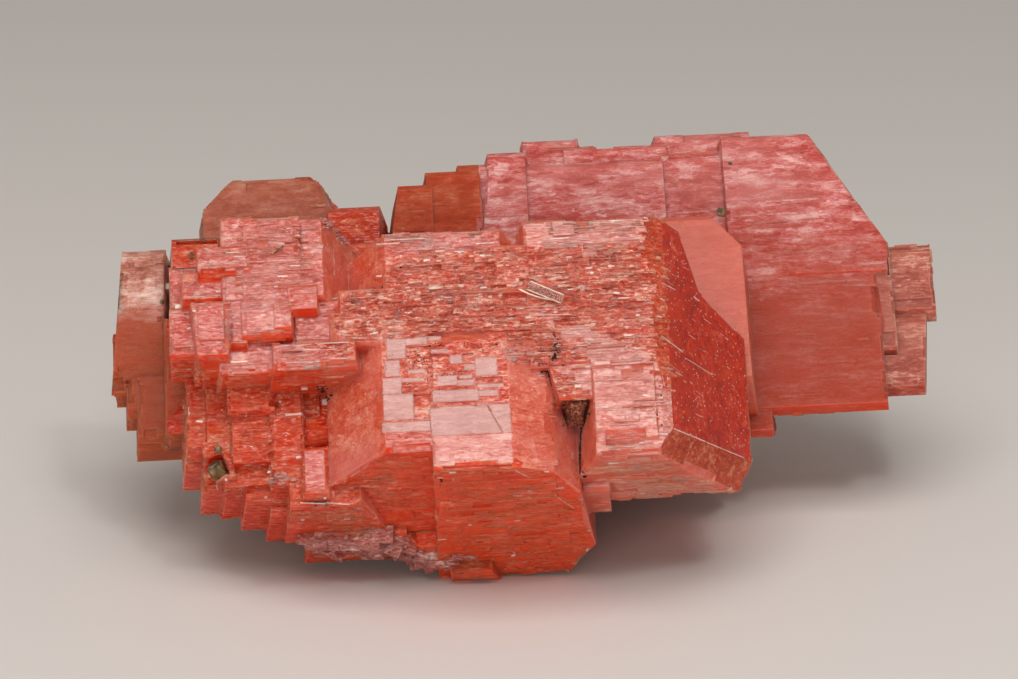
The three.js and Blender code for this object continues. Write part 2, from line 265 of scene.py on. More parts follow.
SERANDITE_IOR = 1.67
GLOW_REACH = 3.2  # how deep light goes into serandite, in mm
GLOW_SHARES = (1.0, 0.28, 0.14)  # how much of that depth red, green and blue light reach
EDGE_ROUNDING = 0.25  # radius in mm over which an edge's shading is rounded, which also sets where its painted highlight falls
EDGE_HIGHLIGHT = 6.0  # how fast an edge is painted pale as it turns away from its face: a painted highlight
WAVE = 2.0  # length in mm of the slow waves in the striations
WAVE_HEIGHT = 0.8  # in mm
CLOUDS = (4.0, 2.2)  # length and width in mm of each pattern along the bars
THREADS = (0.4, 0.07)
STRANDS = (0.6, 0.07)
DRIFTS = (9.0, 6.0)
DRIFT_ONSET = (0.45, 3.0)  # where in its noise the second hue starts, and how fast it comes in
DRIFT_SHARE = 0.6  # the most that it takes over
STRAND_ONSET = (0.57, 8.0)  # the same for the frosted strands
FROST_BASE = 0.4  # the frost there is between the clouds, as a share of the most there can be
FADE_WAVES = 6.0  # how far the clouds carry the fade up and down, in mm
TONE_WEIGHTS = (1.2, 1.3, 0.9, 0.5, 0.3, 0.3)  # of clouds, bands, threads, tiles, grains and steps
TONES = (0.0, 0.3, 0.5, 0.72, 1.0)  # where a look's five colours sit, from dark to pale
STEP_ATTRIBUTE = "step"  # a tint that each step has to itself


def serandite_colour(material, look, place, clouds, tone):
    """The colour of the crystals below any frost, from the tone and from where the face is. The
    fade with height is painted light, and the tint on faces turned down is a painted glow.
    """
    stops = tuple(zip(TONES, look["colours"]))
    ramp = set_ramp(add_node(material, "ValToRGB", links={"Fac": tone}), stops)
    drift = above(material, streaks(material, place, *DRIFTS, 1.0), *DRIFT_ONSET)
    drift = maths(material, "MULTIPLY", drift, DRIFT_SHARE)
    colour = blend(material, drift, (ramp, "Color"), look["drift"])
    height = add_node(material, "SeparateXYZ", links={"Vector": place})
    height = total(material, (1.0, (height, "Z")), (FADE_WAVES, clouds))
    top, bottom = look["fade"]
    limits = {"From Min": top, "From Max": bottom}
    fade = add_node(material, "MapRange", limits, {"Value": height})
    faded = maths(material, "MULTIPLY", (fade, "Result"), look["fade_share"])
    colour = blend(material, faded, colour, look["low"])
    # Painted glow: faces turned down take the `under` colour, standing in for light that comes
    # through the crystals.
    down = facing(material, -UP_FACE)
    painted_underside = maths(material, "MULTIPLY", down, look["under_share"], clamp=True)
    return blend(material, painted_underside, colour, look["under"])


def serandite(look):
    """Serandite, a glassy to pearly silicate. Light goes a few millimetres into it, so it looks
    lit from inside. `look` holds what differs from one kind of face to another."""
    material = new_material("Serandite, " + look["name"])
    place = crystal_coordinates(material)
    waves = {"Scale": 1 / WAVE, "Detail": 2.0}
    wander = add_node(material, "TexNoise", waves, {"Vector": place})
    shift = vectors(material, "SUBTRACT", (wander, "Color"), HALF)
    shift = vectors(material, "MULTIPLY", shift, (WAVE_HEIGHT,) * 3)
    bent = vectors(material, "ADD", place, shift)

    clouds = streaks(material, bent, *CLOUDS, 2.0)
    bands = streaks(material, bent, *look["dash"], 3.0)
    threads = streaks(material, bent, *THREADS, 4.0, 0.7)
    tint, tilted = tiny_tiles(material, bent, look["tiles"], look["tilt"])
    grain, glitter = tiny_tiles(material, place, look["grains"], look["glitter"])
    step = (add_node(material, "Attribute", attribute_name=STEP_ATTRIBUTE), "Fac")

    tone = total(material, *zip(TONE_WEIGHTS, (clouds, bands, threads, tint, grain, step)))
    tone = maths(material, "SUBTRACT", tone, sum(TONE_WEIGHTS) / 2)
    tone = maths(material, "ADD", maths(material, "MULTIPLY", tone, look["contrast"]), 0.5)
    colour = serandite_colour(material, look, place, clouds, tone)

    edge = add_node(material, "Bevel", {"Radius": EDGE_ROUNDING * MM}, samples=4)
    # Edges are painted pale as their rounded normal turns away from the face: a painted highlight,
    # carried in `worn`.
    flat = add_node(material, "NewGeometry")
    turned = vectors(material, "DOT_PRODUCT", (edge, "Normal"), (flat, "Normal"))
    turned = maths(material, "SUBTRACT", 1.0, turned)
    worn = maths(material, "MULTIPLY", turned, EDGE_HIGHLIGHT, clamp=True)
    strands = above(material, streaks(material, bent, *STRANDS, 3.0), *STRAND_ONSET)
    # This frost is the frosted strands plus the painted highlight on the edges.
    frost = total(material, (look["frost"], strands), (look["edges"], worn))
    patchy = maths(material, "ADD", clouds, FROST_BASE)
    frost = maths(material, "MULTIPLY", frost, patchy, clamp=True)
    colour = blend(material, frost, colour, look["pale"])

    matt, gloss = look["roughness"]
    sheen = maths(material, "ADD", maths(material, "MULTIPLY", bands, gloss - matt), matt)
    height = total(
        material,
        (look["thread_depth"], threads),
        (look["band_depth"], bands),
        (1.0, tilted),
        (1.0, glitter),
    )
    links = {"Height": height, "Normal": (edge, "Normal")}
    bump = add_node(material, "Bump", {"Strength": 1.0, "Distance": MM}, links)
    values = {
        "IOR": SERANDITE_IOR,
        "Subsurface Weight": look["glow"],
        "Subsurface Radius": GLOW_SHARES,
        "Subsurface Scale": GLOW_REACH * MM,
        "Specular IOR Level": look["gleam"],
    }
    links = {"Base Color": colour, "Roughness": sheen, "Normal": (bump, "Normal")}
    return finish_material(material, values, links)


LOOKS = []


def add_look(name, like=None, **changes):
    """Adds a look and gives its place in the list. It is like another one, but for its changes."""
    inherited = {} if like is None else LOOKS[like]
    LOOKS.append(inherited | {"name": name} | changes)
    return len(LOOKS) - 1


# What a look says: `colours` run from dark to pale, and `drift` is a second hue in broad patches.
# `low` takes over between the two `fade` heights, by `fade_share`: where a look fades, this is
# painted light, shade low down on some looks and a sheen on top on others. `under` takes over on
# what faces down, as a painted glow of the light that comes through the crystals. `pale` is the
# colour of frosted strands, by `frost`, and of a painted highlight on the edges, by `edges`. `dash`
# is the length and width of the bands. `tiles` and `grains` are the sizes of the coarse and the
# fine cleavage, and `tilt` and `glitter` say how far those two lean. `roughness` goes from matt to
# glossy, `glow` is how much light goes in, and `gleam` how strongly the surface reflects. All
# lengths and heights are in mm.

NO_FADE = (-90, -100)  # heights below the whole specimen

# Growth faces: satin, finely striated along the bars, with countless tiny cleavage steps. The
# hue drifts between salmon and a cooler pink.
GROWTH = add_look(
    "striated growth faces",
    colours=("#A8301C", "#C44A38", "#D0665A", "#DC8880", "#EBB4AA"),
    drift="#D4807C",
    low="#B04A22",
    fade=NO_FADE,
    fade_share=1.0,
    dash=(1.2, 0.24),
    contrast=1.0,
    under="#D6421A",
    under_share=0.55,
    pale="#F4CCC0",
    frost=0.22,
    edges=0.2,
    roughness=(0.15, 0.3),
    tiles=(1.4, 0.3, 0.35),
    tilt=0.14,
    grains=(0.45, 0.13, 0.13),
    glitter=0.3,
    thread_depth=0.01,
    band_depth=0.03,
    glow=0.85,
    gleam=0.5,
)

# Growth faces at the back, etched dull. They turn to amber low down: painted shade, where less of
# the light reaches.
REAR = add_look(
    "growth faces at the back",
    GROWTH,
    colours=("#A83024", "#BE4E46", "#CA6C68", "#D68E8C", "#ECC0BC"),
    drift="#D08C88",
    fade=(25.0, 13.0),
    fade_share=0.85,
    low="#A43408",
    dash=(6.0, 0.9),
    contrast=1.1,
    frost=0.1,
    edges=0.15,
    tilt=0.03,
    glitter=0.2,
    roughness=(0.5, 0.75),
    gleam=0.25,
    thread_depth=0.006,
    band_depth=0.015,
)

# Rough growth faces: the same, broken into smaller blocks that lean every way and glitter.
ROUGH = add_look(
    "rough stepped faces",
    GROWTH,
    colours=("#B02A0E", "#CC4226", "#DC6048", "#E88A74", "#F8CCBA"),
    drift="#DC7468",
    dash=(0.8, 0.26),
    contrast=1.15,
    roughness=(0.12, 0.25),
    tiles=(0.9, 0.35, 0.25),
    tilt=0.2,
    grains=(0.32, 0.13, 0.13),
    glitter=0.6,
    thread_depth=0.012,
    band_depth=0.04,
    glow=0.5,
)

# Calm faces: glassy walls without steps, that show the body colour with a soft sheen.
CALM = add_look(
    "glassy walls",
    GROWTH,
    colours=("#C2401F", "#CC5234", "#D4654A", "#DC7C64", "#E69A86"),
    roughness=(0.25, 0.4),
    tiles=(2.5, 0.6, 0.6),
    tilt=0.03,
    glitter=0.12,
    thread_depth=0.006,
    band_depth=0.02,
)

# Smooth growth faces just behind the big crystal: pale salmon and even.
SMOOTH = add_look(
    "smooth faces",
    CALM,
    colours=("#BE4C34", "#C4563E", "#C85E48", "#CC6650", "#D2705C"),
    drift="#C85A48",
    under_share=0.1,
    frost=0.05,
    edges=0.15,
    gleam=0.3,
    roughness=(0.4, 0.5),
    tilt=0.01,
    glitter=0.02,
)

# Undersides: the strongest orange-red, partly a painted glow of the light that comes through the
# crystals, with bright threads along the striations.
UNDERSIDE_GLOW = add_look(
    "orange-red undersides, partly painted glow",
    GROWTH,
    colours=("#CC2600", "#DC3408", "#E44416", "#EA623A", "#F6A088"),
    drift="#E44A1C",
    fade=(-9.2, -11.8),
    fade_share=0.9,
    low="#E0440A",
    dash=(4.0, 0.3),
    under_share=0.3,
    contrast=0.9,
    pale="#F8AA98",
    frost=0.14,
    gleam=0.25,
    tilt=0.08,
    roughness=(0.25, 0.4),
    band_depth=0.05,
    glow=0.45,
)

# The cleaved end of the big crystal: glassy, and deep red partly as painted shade, since little of
# the light falls on this side.
SHADED_END = add_look(
    "cleaved end, partly painted shade",
    GROWTH,
    colours=("#8E0E00", "#AC1C00", "#BE2404", "#CA3414", "#D46A4C"),
    drift="#C83410",
    dash=(0.5, 0.5),
    under_share=0.0,
    gleam=0.35,
    contrast=0.9,
    frost=0.04,
    edges=0.3,
    roughness=(0.25, 0.4),
    tiles=(0.5, 0.5, 0.5),
    tilt=0.05,
    glitter=0.05,
    thread_depth=0.008,
    band_depth=0.015,
)

# The narrow brown face below the cleaved end.
RIM = add_look(
    "brown rim",
    UNDERSIDE_GLOW,
    colours=("#902000", "#A83208", "#B43E18", "#C05434", "#D08468"),
    drift="#BC482A",
    fade=NO_FADE,
    contrast=1.3,
    pale="#E8A890",
    frost=0.3,
    roughness=(0.4, 0.6),
)

# Amber crystals, low down and behind, etched dull: their browner orange with little pink is painted
# shade, as less of the light reaches them.
SHADED_AMBER = add_look(
    "amber crystals, painted shade",
    GROWTH,
    colours=("#962800", "#A83A0E", "#B24420", "#BC5A38", "#CC8464"),
    drift="#B85434",
    contrast=0.7,
    under="#B83404",
    frost=0.08,
    edges=0.1,
    tilt=0.02,
    dash=(2.0, 1.2),
    roughness=(0.6, 0.8),
    gleam=0.2,
)

# Ruby crystals under the overhang: wet-looking and deep orange-red, partly a painted glow of the
# light that comes through them into the overhang's shade.
RUBY = add_look(
    "ruby crystals",
    GROWTH,
    colours=("#AE1C00", "#C03006", "#CA421A", "#D45E3C", "#EEA488"),
    drift="#CE5232",
    contrast=0.85,
    under="#DC3200",
    pale="#F4B49C",
    dash=(1.8, 0.6),
    roughness=(0.15, 0.35),
    tilt=0.1,
    glitter=0.45,
    gleam=0.4,
)

# Faces deep in the recess and behind the crest, where the light only comes through the crystals:
# the purest orange-red, a painted glow of that light.
RECESS_GLOW = add_look(
    "recess faces, painted glow",
    RUBY,
    colours=("#DC2C00", "#E63C06", "#EE4A10", "#F05A22", "#F0906A"),
    drift="#F0541A",
    under="#F04408",
    frost=0.08,
    edges=0.1,
)

# Outer crystals: duller and browner, and cream on top, where the cream is a painted sheen of the
# light from above.
OUTER_LEFT = add_look(
    "outer crystals, painted sheen on top",
    GROWTH,
    colours=("#96503A", "#B67462", "#CC988A", "#DEB6AC", "#F0DAD0"),
    drift="#C89A8C",
    fade=(17.5, 13.5),
    fade_share=0.93,
    low="#A44012",
    under="#A44818",
    dash=(2.4, 1.6),
    frost=0.05,
    edges=0.1,
    roughness=(0.5, 0.75),
    glitter=0.2,
    gleam=0.25,
    band_depth=0.015,
)

# Crystals at the back: an even warm brown.
BACK_LEFT = add_look(
    "brown crystals at the back",
    OUTER_LEFT,
    colours=("#8A3A20", "#A04C32", "#AC5C44", "#B87058", "#C8907C"),
    drift="#B46650",
    fade=(17.5, 12.5),
    low="#A03C10",
)

# Blunt crystal ends at the far right: dull pink-brown.
BLUNT = add_look(
    "blunt ends",
    SMOOTH,
    colours=("#8C3020", "#9C4432", "#A85442", "#B66A58", "#D09A8A"),
    drift="#AC6252",
    contrast=1.3,
    edges=0.35,
    roughness=(0.5, 0.7),
)

# Silky faces: paler than the rest, partly where thin layers have split and let the air in, and
# partly a painted sheen of the light from above.
SILKY = add_look(
    "silky faces",
    GROWTH,
    colours=("#B43826", "#CA6454", "#D68478", "#E2A29A", "#F2D2CC"),
    drift="#DA928C",
    dash=(2.4, 0.24),
    contrast=0.75,
    frost=0.2,
    glitter=0.2,
    tilt=0.08,
    glow=0.6,
)

# Fresh cleavage: mirror-flat and pearly, so a tile shows the softbox as one pale patch.
TILE = add_look(
    "cleavage tiles",
    GROWTH,
    colours=("#984C3E", "#A86054", "#B26E64", "#BC7E76", "#C8948E"),
    drift="#B47670",
    frost=0.1,
    roughness=(0.08, 0.16),
    tiles=(3.0, 0.5, 0.5),
    tilt=0.008,
    glitter=0.01,
    thread_depth=0.001,
    band_depth=0.003,
    glow=0.5,
)

# Glints: small splinters still held by one side, nearly white partly from the air come in below
# them and partly as a painted glint.
GLINT = add_look(
    "cleavage glints",
    TILE,
    colours=("#DC9A88", "#E8B8AA", "#F0CDC0", "#F6DDD4", "#FBEDE4"),
    drift="#F0D0C0",
    tilt=0.05,
)

# Crusts: a sugary growth of fine crystals, darker pink between its glints.
CRUST = add_look(
    "sugary crust",
    ROUGH,
    colours=("#98342E", "#B2564C", "#C4766C", "#D89C92", "#F8E4DE"),
    drift="#C47E74",
    glitter=0.5,
    frost=0.35,
    pale="#FBEAE4",
    under_share=0.1,
    glow=0.0,
)


# --- Relief on the crystals -------------------------------------------------------------------

CELL = 3.0  # size in mm of the cells in which blocks look for their neighbours
ROOT = 0.5  # how deep the foot of a step is sunk into its crystal, in mm
PROBE = 1.0  # how far above a face its level is felt for, in mm
LEVEL = 0.35  # how uneven the ground under a step may be, in mm
SLANT = 0.12  # how far a step's ends slant, as a share of its width
SAME_SPOT = 1e-4  # corners nearer than this in mm are one corner
MOSTLY_ALONG = 0.75  # cosine past which a face looks along the bars, so that none run on it
SMALLEST_GROUND = 0.02  # faces below this area in square mm carry no step
SHARP = math.radians(30)  # edges flatter than this don't chip
WORN_SHARE = 0.9  # the most of an edge that one chip takes, so that its neighbours stay whole
WORN_WIDTH = 2.2  # width of a chip's block, in half widths of the chip
WORN_ROOT = 0.02  # how far a chip's block stands clear of its edge, in mm
LINE_ROOT = 0.05  # how deep the foot of a bright line is sunk, in mm


def mesh_object(name, bm, materials):
    mesh = bpy.data.meshes.new(name)
    bm.to_mesh(mesh)
    bm.free()
    for material in materials:
        mesh.materials.append(material)
    made = bpy.data.objects.new(name, mesh)
    bpy.context.scene.collection.objects.link(made)
    return made


def merged_copy(node):
    """A copy of a CAD node's mesh with its doubles merged, in the crystals' axes."""
    bm = bmesh.new()
    bm.from_mesh(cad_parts[node].data)
    bmesh.ops.transform(bm, matrix=AXES.inverted(), verts=bm.verts)
    bmesh.ops.remove_doubles(bm, verts=bm.verts, dist=SAME_SPOT)
    return bm


def surface_of(thing, turn=None):
    """An object's surface, for rays to feel. The turn, where there is one, is made first."""
    bm = bmesh.new()
    bm.from_mesh(thing.data)
    if turn:
        bmesh.ops.transform(bm, matrix=turn, verts=bm.verts)
    tree = BVHTree.FromBMesh(bm)
    bm.free()
    return tree


def cut_off(bm, point, outward):
    """Cuts away what lies beyond a plane, and closes the cut."""
    everything = bm.verts[:] + bm.edges[:] + bm.faces[:]
    bmesh.ops.bisect_plane(
        bm, geom=everything, plane_co=point, plane_no=outward, clear_outer=True
    )
    bmesh.ops.holes_fill(bm, edges=[edge for edge in bm.edges if edge.is_boundary])


def axes_on(normal):
    """Two directions on a face: along the bars where it can be, and across them."""
    cut_across = abs(normal.dot(ALONG)) > MOSTLY_ALONG
    along = (UP_FACE if cut_across else ALONG).copy()
    along = (along - normal * along.dot(normal)).normalized()
    return along, normal.cross(along)


def footing(tree, spot, normal, along, across, length, width):
    """True if the ground under a step is even along both of its long sides."""
    for i, j in itertools.product((-1, -0.5, 0, 0.5, 1), (-1, 1)):
        foot = spot + along * (i * length / 2) + across * (j * width / 2)
        hit, _, _, reach = tree.ray_cast(foot + normal * PROBE, -normal, 2 * PROBE)
        if hit is None or abs(reach - PROBE) > LEVEL:
            return False
    return True


class Blocks:
    """Flat blocks that don't touch each other, to be added to the crystals or cut from them."""

    def __init__(self):
        self.bm = bmesh.new()
        self.layer = self.bm.faces.layers.float.new(STEP_ATTRIBUTE)
        self.cells = {}

    def is_free(self, low, high):
        """True if a box touches no block so far. The box is then kept as taken."""
        spans = [range(int(a // CELL), int(b // CELL) + 1) for a, b in zip(low, high)]
        cells = [self.cells.setdefault(key, []) for key in itertools.product(*spans)]
        for cell in cells:
            for other_low, other_high in cell:
                if all(a < d and c < b for a, b, c, d in zip(low, high, other_low, other_high)):
                    return False
        for cell in cells:
            cell.append((low, high))
        return True

    def add(self, spot, axes, size, rise, slot, value, root=ROOT):
        """A block whose top stands `rise` above the spot. A negative rise makes a pit's block."""
        along, across, normal = axes
        high, low = (rise, -root) if rise > 0 else (root, rise)
        turn = Matrix((along, across, normal)).transposed().to_4x4()
        centre = Matrix.Translation(spot + normal * (high + low) / 2)
        shape = Matrix.Diagonal((*size, high - low, 1))
        place = centre @ turn @ shape
        corners = [place @ Vector(corner) for corner in itertools.product((-0.5, 0.5), repeat=3)]
        lowest = tuple(min(corner[i] for corner in corners) for i in range(3))
        highest = tuple(max(corner[i] for corner in corners) for i in range(3))
        if not self.is_free(lowest, highest):
            return
        made = bmesh.ops.create_cube(self.bm, size=1, matrix=place)
        for face in {face for vert in made["verts"] for face in vert.link_faces}:
            face.material_index = slot
            face[self.layer] = value


def habit(normal, centre):
    """What kind of face this is: its habit decides its relief. The limits are where one group of
    crystals gives way to the next, in mm along the crystals' axes."""
    x, y, z = centre
    if normal.dot(ALONG) > 0.4 and x > 10 and y < 13:  # right end of the big crystal
        if normal.dot(UP_FACE) < -0.2:
            return "rim"
        if normal.dot(ALONG) > 0.6:
            return "end"
        return "lower" if z < -4 else "strip"
    if x > 14 and 12 < y < 21.9:  # just behind the big crystal
        return "smooth"
    if normal.dot(UP_FACE) < -0.5 and -14 < x < 12 and z < -8:  # bottom of the shield
        return "under"
    if x < -31.4 or x > 35 or (x < -16.6 and y > 21):  # outermost crystals
        return "worn"
    if y > BACK:
        return "back"
    if y > (BEHIND_CREST if z > 6 else 12):
        return "rear"
    if x < BAND_LEFT and y > 4 and z < 0.5:
        return "packed"
    if normal.dot(UP_FACE) < -0.5:
        return "under"
    if normal.dot(INTO) > -0.95:
        return "calm"
    if -12 < x < 0 and -12.5 < z < 1:
        return "shield"
    if x > 5 and z < 0.5 or x > 2.5 and z > 9:
        return "lower"
    return "stepped" if x < -16 or z > 9 else "rough"


# Where the specimen's parts end, in mm along the crystals' axes.
BAND_LEFT = -17.0  # left end of the stepped band
RED_END = -11.2  # right end of the red crystals behind
AMBER_END = -1.6  # right end of the amber crystals behind
REAR_STEP = 19.5  # nearer than this, those two reach further right
BEHIND_CREST = 11.0  # front of the crystals behind the crest
BACK = 26.5  # front of the crystals at the very back

SLOT_BY_HABIT = {
    "end": SHADED_END,
    "rim": RIM,
    "strip": RUBY,
    "calm": CALM,
    "smooth": SMOOTH,
    "under": UNDERSIDE_GLOW,
    "rough": ROUGH,
}


def slot_of(kind, centre):
    """The material of a face of that habit at that place."""
    x, y, z = centre
    if kind == "worn":
        if x > 0:
            return BLUNT if x > 37 else REAR
        return BACK_LEFT if x > -30 else OUTER_LEFT
    if kind in ("rear", "back"):
        red_end, amber_end = (-9.4, 0.6) if y < REAR_STEP else (RED_END, AMBER_END)
        if x < -12 and y < 19 or BAND_LEFT < x < red_end:
            return RUBY
        return SHADED_AMBER if BAND_LEFT < x < amber_end else REAR
    walled = kind == "calm" and x > BAND_LEFT
    if -20 < x < -14 and y > 7.5 and -9.5 < z < 1 and not walled:
        return RECESS_GLOW
    if x < -12 and y > 4 and z < 1 and not walled:
        return RUBY
    if kind == "shield" and z > -6:
        return ROUGH
    if kind == "under" and (x > 6 or x > BAND_LEFT and z > -4):
        return CALM
    if kind == "shield" and z < -9 or kind == "lower":
        return SILKY
    return SLOT_BY_HABIT.get(kind, GROWTH)


# Faces are cut across at these levels, so that their habit can change there.
HABIT_LEVELS = (
    (UP_FACE, (9.0, -6.0, -9.2)),
    (ALONG, (BAND_LEFT, RED_END, AMBER_END)),
    (INTO, (BEHIND_CREST, BACK)),
)

Ground = namedtuple("Ground", "area normal corners kind slot")  # a face that relief can grow on


class Crust:
    """The cluster's mesh while its relief grows."""

    def __init__(self, bm, materials):
        for axis, levels in HABIT_LEVELS:
            for level in levels:
                everything = bm.verts[:] + bm.edges[:] + bm.faces[:]
                bmesh.ops.bisect_plane(bm, geom=everything, plane_co=axis * level, plane_no=axis)
        bmesh.ops.triangulate(bm, faces=bm.faces[:])
        layer = bm.faces.layers.float.new(STEP_ATTRIBUTE)
        self.grounds = []
        for face in bm.faces:
            centre = face.calc_center_median()
            kind = habit(face.normal, centre)
            slot = slot_of(kind, centre)
            face.material_index = slot
            face[layer] = 0.5
            area = face.calc_area()
            if area > SMALLEST_GROUND:
                corners = [vert.co.copy() for vert in face.verts]
                self.grounds.append(Ground(area, face.normal.copy(), corners, kind, slot))
        self.materials = materials
        self.thing = mesh_object("serandite_crystals", bm, materials)

    def join(self, blocks, operation):
        """Adds the blocks to the crystals or cuts them away."""
        blocks = mesh_object("blocks", blocks.bm, self.materials)
        modifier = self.thing.modifiers.new("relief", "BOOLEAN")
        modifier.object = blocks
        modifier.operation = operation
        modifier.solver = "MANIFOLD"
        graph = bpy.context.evaluated_depsgraph_get()
        grown = bpy.data.meshes.new_from_object(self.thing.evaluated_get(graph))
        self.thing.modifiers.remove(modifier)
        old = self.thing.data
        self.thing.data = grown
        bpy.data.meshes.remove(old)
        spent = blocks.data
        bpy.data.objects.remove(blocks)
        bpy.data.meshes.remove(spent)


def spot_on(corners, draw):
    """A random point on a triangle."""
    first, second = sorted((draw.random(), draw.random()))
    return corners[0] * first + corners[1] * (second - first) + corners[2] * (1 - second)


def swung(axes, swing, tilt):
    """The axes of a block, swung in its face and then tilted about its own length."""
    along, across, normal = axes
    turn = Matrix.Rotation(swing, 3, normal)
    along, across = turn @ along, turn @ across
    turn = Matrix.Rotation(tilt, 3, along)
    return along, turn @ across, turn @ normal


def scatter(crust, recipe, draw, amount):
    """Grows or cuts one generation of blocks over the faces whose habits it names."""
    tree = surface_of(crust.thing)
    blocks = Blocks()
    weights = [ground.area * recipe.where.get(ground.kind, 0) for ground in crust.grounds]
    picked = draw.choices(crust.grounds, weights, k=int(recipe.count * amount))
    for _, normal, corners, _, slot in picked:
        spot = spot_on(corners, draw)
        length = draw.uniform(*recipe.length)
        width = draw.uniform(*recipe.width)
        rise = draw.uniform(*recipe.rise)
        value = draw.random()
        slot = GLINT if draw.random() < recipe.glints else slot
        swing = draw.gauss(0, math.radians(recipe.swing))
        tilt = draw.gauss(0, math.radians(recipe.tilt))
        slant = draw.gauss(0, SLANT)
        hit, _, _, _ = tree.ray_cast(spot + normal * PROBE, -normal, 2 * PROBE)
        if hit is None:
            continue
        along, across = axes_on(normal)
        if not footing(tree, hit, normal, along, across, length, width):
            continue
        along, across, normal = swung((along, across, normal), swing, tilt)
        axes = (along, across + along * slant, normal)
        blocks.add(hit, axes, (length, width), rise, slot, value)
    crust.join(blocks, recipe.operation)


def wear_edges(crust, recipe, draw, amount):
    """Breaks sharp outer edges with short bevels of uneven depth and slope."""
    bm = bmesh.new()
    bm.from_mesh(crust.thing.data)
    edges = [
        edge
        for edge in bm.edges
        if edge.is_convex
        and edge.calc_length() > recipe.shortest
        and edge.calc_face_angle() > SHARP
    ]
    weights = []
    for edge in edges:
        kinds = [habit(face.normal, face.calc_center_median()) for face in edge.link_faces]
        weights.append(edge.calc_length() * max(recipe.where.get(kind, 0) for kind in kinds))
    blocks = Blocks()
    for edge in draw.choices(edges, weights, k=int(recipe.count * amount)):
        start, end = (vert.co for vert in edge.verts)
        length = min(draw.uniform(*recipe.length), WORN_SHARE * edge.calc_length())
        along = (end - start).normalized()
        spot = start + along * (length / 2 + draw.random() * (edge.calc_length() - length))
        normal = sum((face.normal for face in edge.link_faces), Vector()).normalized()
        tilt = draw.gauss(0, math.radians(recipe.tilt))
        axes = swung((along, normal.cross(along), normal), 0, tilt)
        depth = draw.uniform(*recipe.depth)
        width = WORN_WIDTH * depth / math.tan(edge.calc_face_angle() / 2)
        slot = draw.choice(edge.link_faces).material_index
        blocks.add(spot, axes, (length, width), -depth, slot, draw.random(), WORN_ROOT)
    bm.free()
    crust.join(blocks, "DIFFERENCE")


LONG_WEAR = {
    "rear": 0.1,
    "back": 1,
    "worn": 2,
    "packed": 4,
    "under": 0.4,
    "stepped": 0.3,
    "calm": 0.2,
}
SHORT_WEAR = dict.fromkeys(("back", "under", "stepped", "calm", "rough"), 1)
SHORT_WEAR |= {"rear": 0.2, "worn": 2, "packed": 3}
FINE_WEAR = dict.fromkeys(("under", "stepped", "calm", "rough", "lower"), 1)
FINE_WEAR |= {"rear": 0.1, "worn": 0.05}

# Chipped edges: how many, the shortest edge that chips, their length and depth in mm, how far they
# tilt in degrees, and how thickly they sit on each habit.
Wear = namedtuple("Wear", "count shortest length depth tilt where")
OLD_WEAR = (
    Wear(900, 1.0, (2.0, 8.0), (0.1, 0.4), 12, LONG_WEAR),
    Wear(900, 0.5, (0.5, 3.0), (0.06, 0.3), 15, SHORT_WEAR),
)
FRESH_WEAR = Wear(1600, 0.3, (0.15, 1.0), (0.02, 0.08), 18, FINE_WEAR)

# How thickly each kind of step sits on each habit.
ALL_ROUND = {
    "rough": 2.5,
    "stepped": 0.5,
    "packed": 0.6,
    "lower": 0.3,
    "rear": 0.04,
    "back": 0.3,
    "under": 0.5,
    "calm": 0.05,
    "strip": 1.5,
    "worn": 0.02,
}
CUT_IN = {"rough": 2.5, "stepped": 0.12, "packed": 0.3, "lower": 0.05, "under": 0.5, "strip": 1.5}
RIDGES = {"under": 3, "lower": 1, "rear": 0.3, "back": 1}
GROOVES = {"under": 3, "lower": 0.5}
STRIAE = {"stepped": 3.5, "rough": 1, "strip": 1, "lower": 3, "rear": 0.1, "under": 0.5}
SPLINTERS = {"rough": 4, "strip": 2, "stepped": 1, "packed": 1.5, "lower": 0.5, "under": 0.4}
SPARKS = {"calm": 2, "rough": 1.5, "stepped": 1, "packed": 1.5, "under": 0.4}

# The generations of relief, oldest first. Lengths run along the bars, and what has a negative
# rise is cut in, in mm. Glints are the share of bright ones. Swing and tilt are in degrees.
Growth = namedtuple("Growth", "operation count length width rise glints swing tilt where")
GENERATIONS = (
    Growth("UNION", 480, (1.8, 6), (0.8, 2.6), (0.05, 0.22), 0, 1, 1, ALL_ROUND),
    Growth("DIFFERENCE", 450, (0.8, 4), (0.4, 1.5), (-0.22, -0.06), 0, 1, 1, CUT_IN),
    Growth("UNION", 1200, (0.6, 3.4), (0.2, 0.9), (0.03, 0.14), 0, 1, 1, ALL_ROUND),
    Growth("DIFFERENCE", 1000, (0.3, 2.4), (0.1, 0.5), (-0.14, -0.04), 0, 1, 1, CUT_IN),
    Growth("UNION", 900, (2, 9), (0.08, 0.3), (0.03, 0.1), 0, 1, 1, RIDGES),
    Growth("DIFFERENCE", 700, (1.5, 8), (0.08, 0.2), (-0.1, -0.03), 0, 1, 1, GROOVES),
    Growth("UNION", 1500, (0.8, 4), (0.06, 0.16), (0.03, 0.09), 0.03, 1, 1, STRIAE),
    Growth("UNION", 2000, (0.25, 1.6), (0.08, 0.35), (0.03, 0.12), 0.02, 3, 5, ALL_ROUND),
    Growth("UNION", 1200, (0.15, 0.7), (0.06, 0.2), (0.04, 0.14), 0.1, 5, 12, SPLINTERS),
    Growth("UNION", 900, (0.05, 0.14), (0.04, 0.1), (0.02, 0.06), 0.8, 30, 12, SPARKS),
)

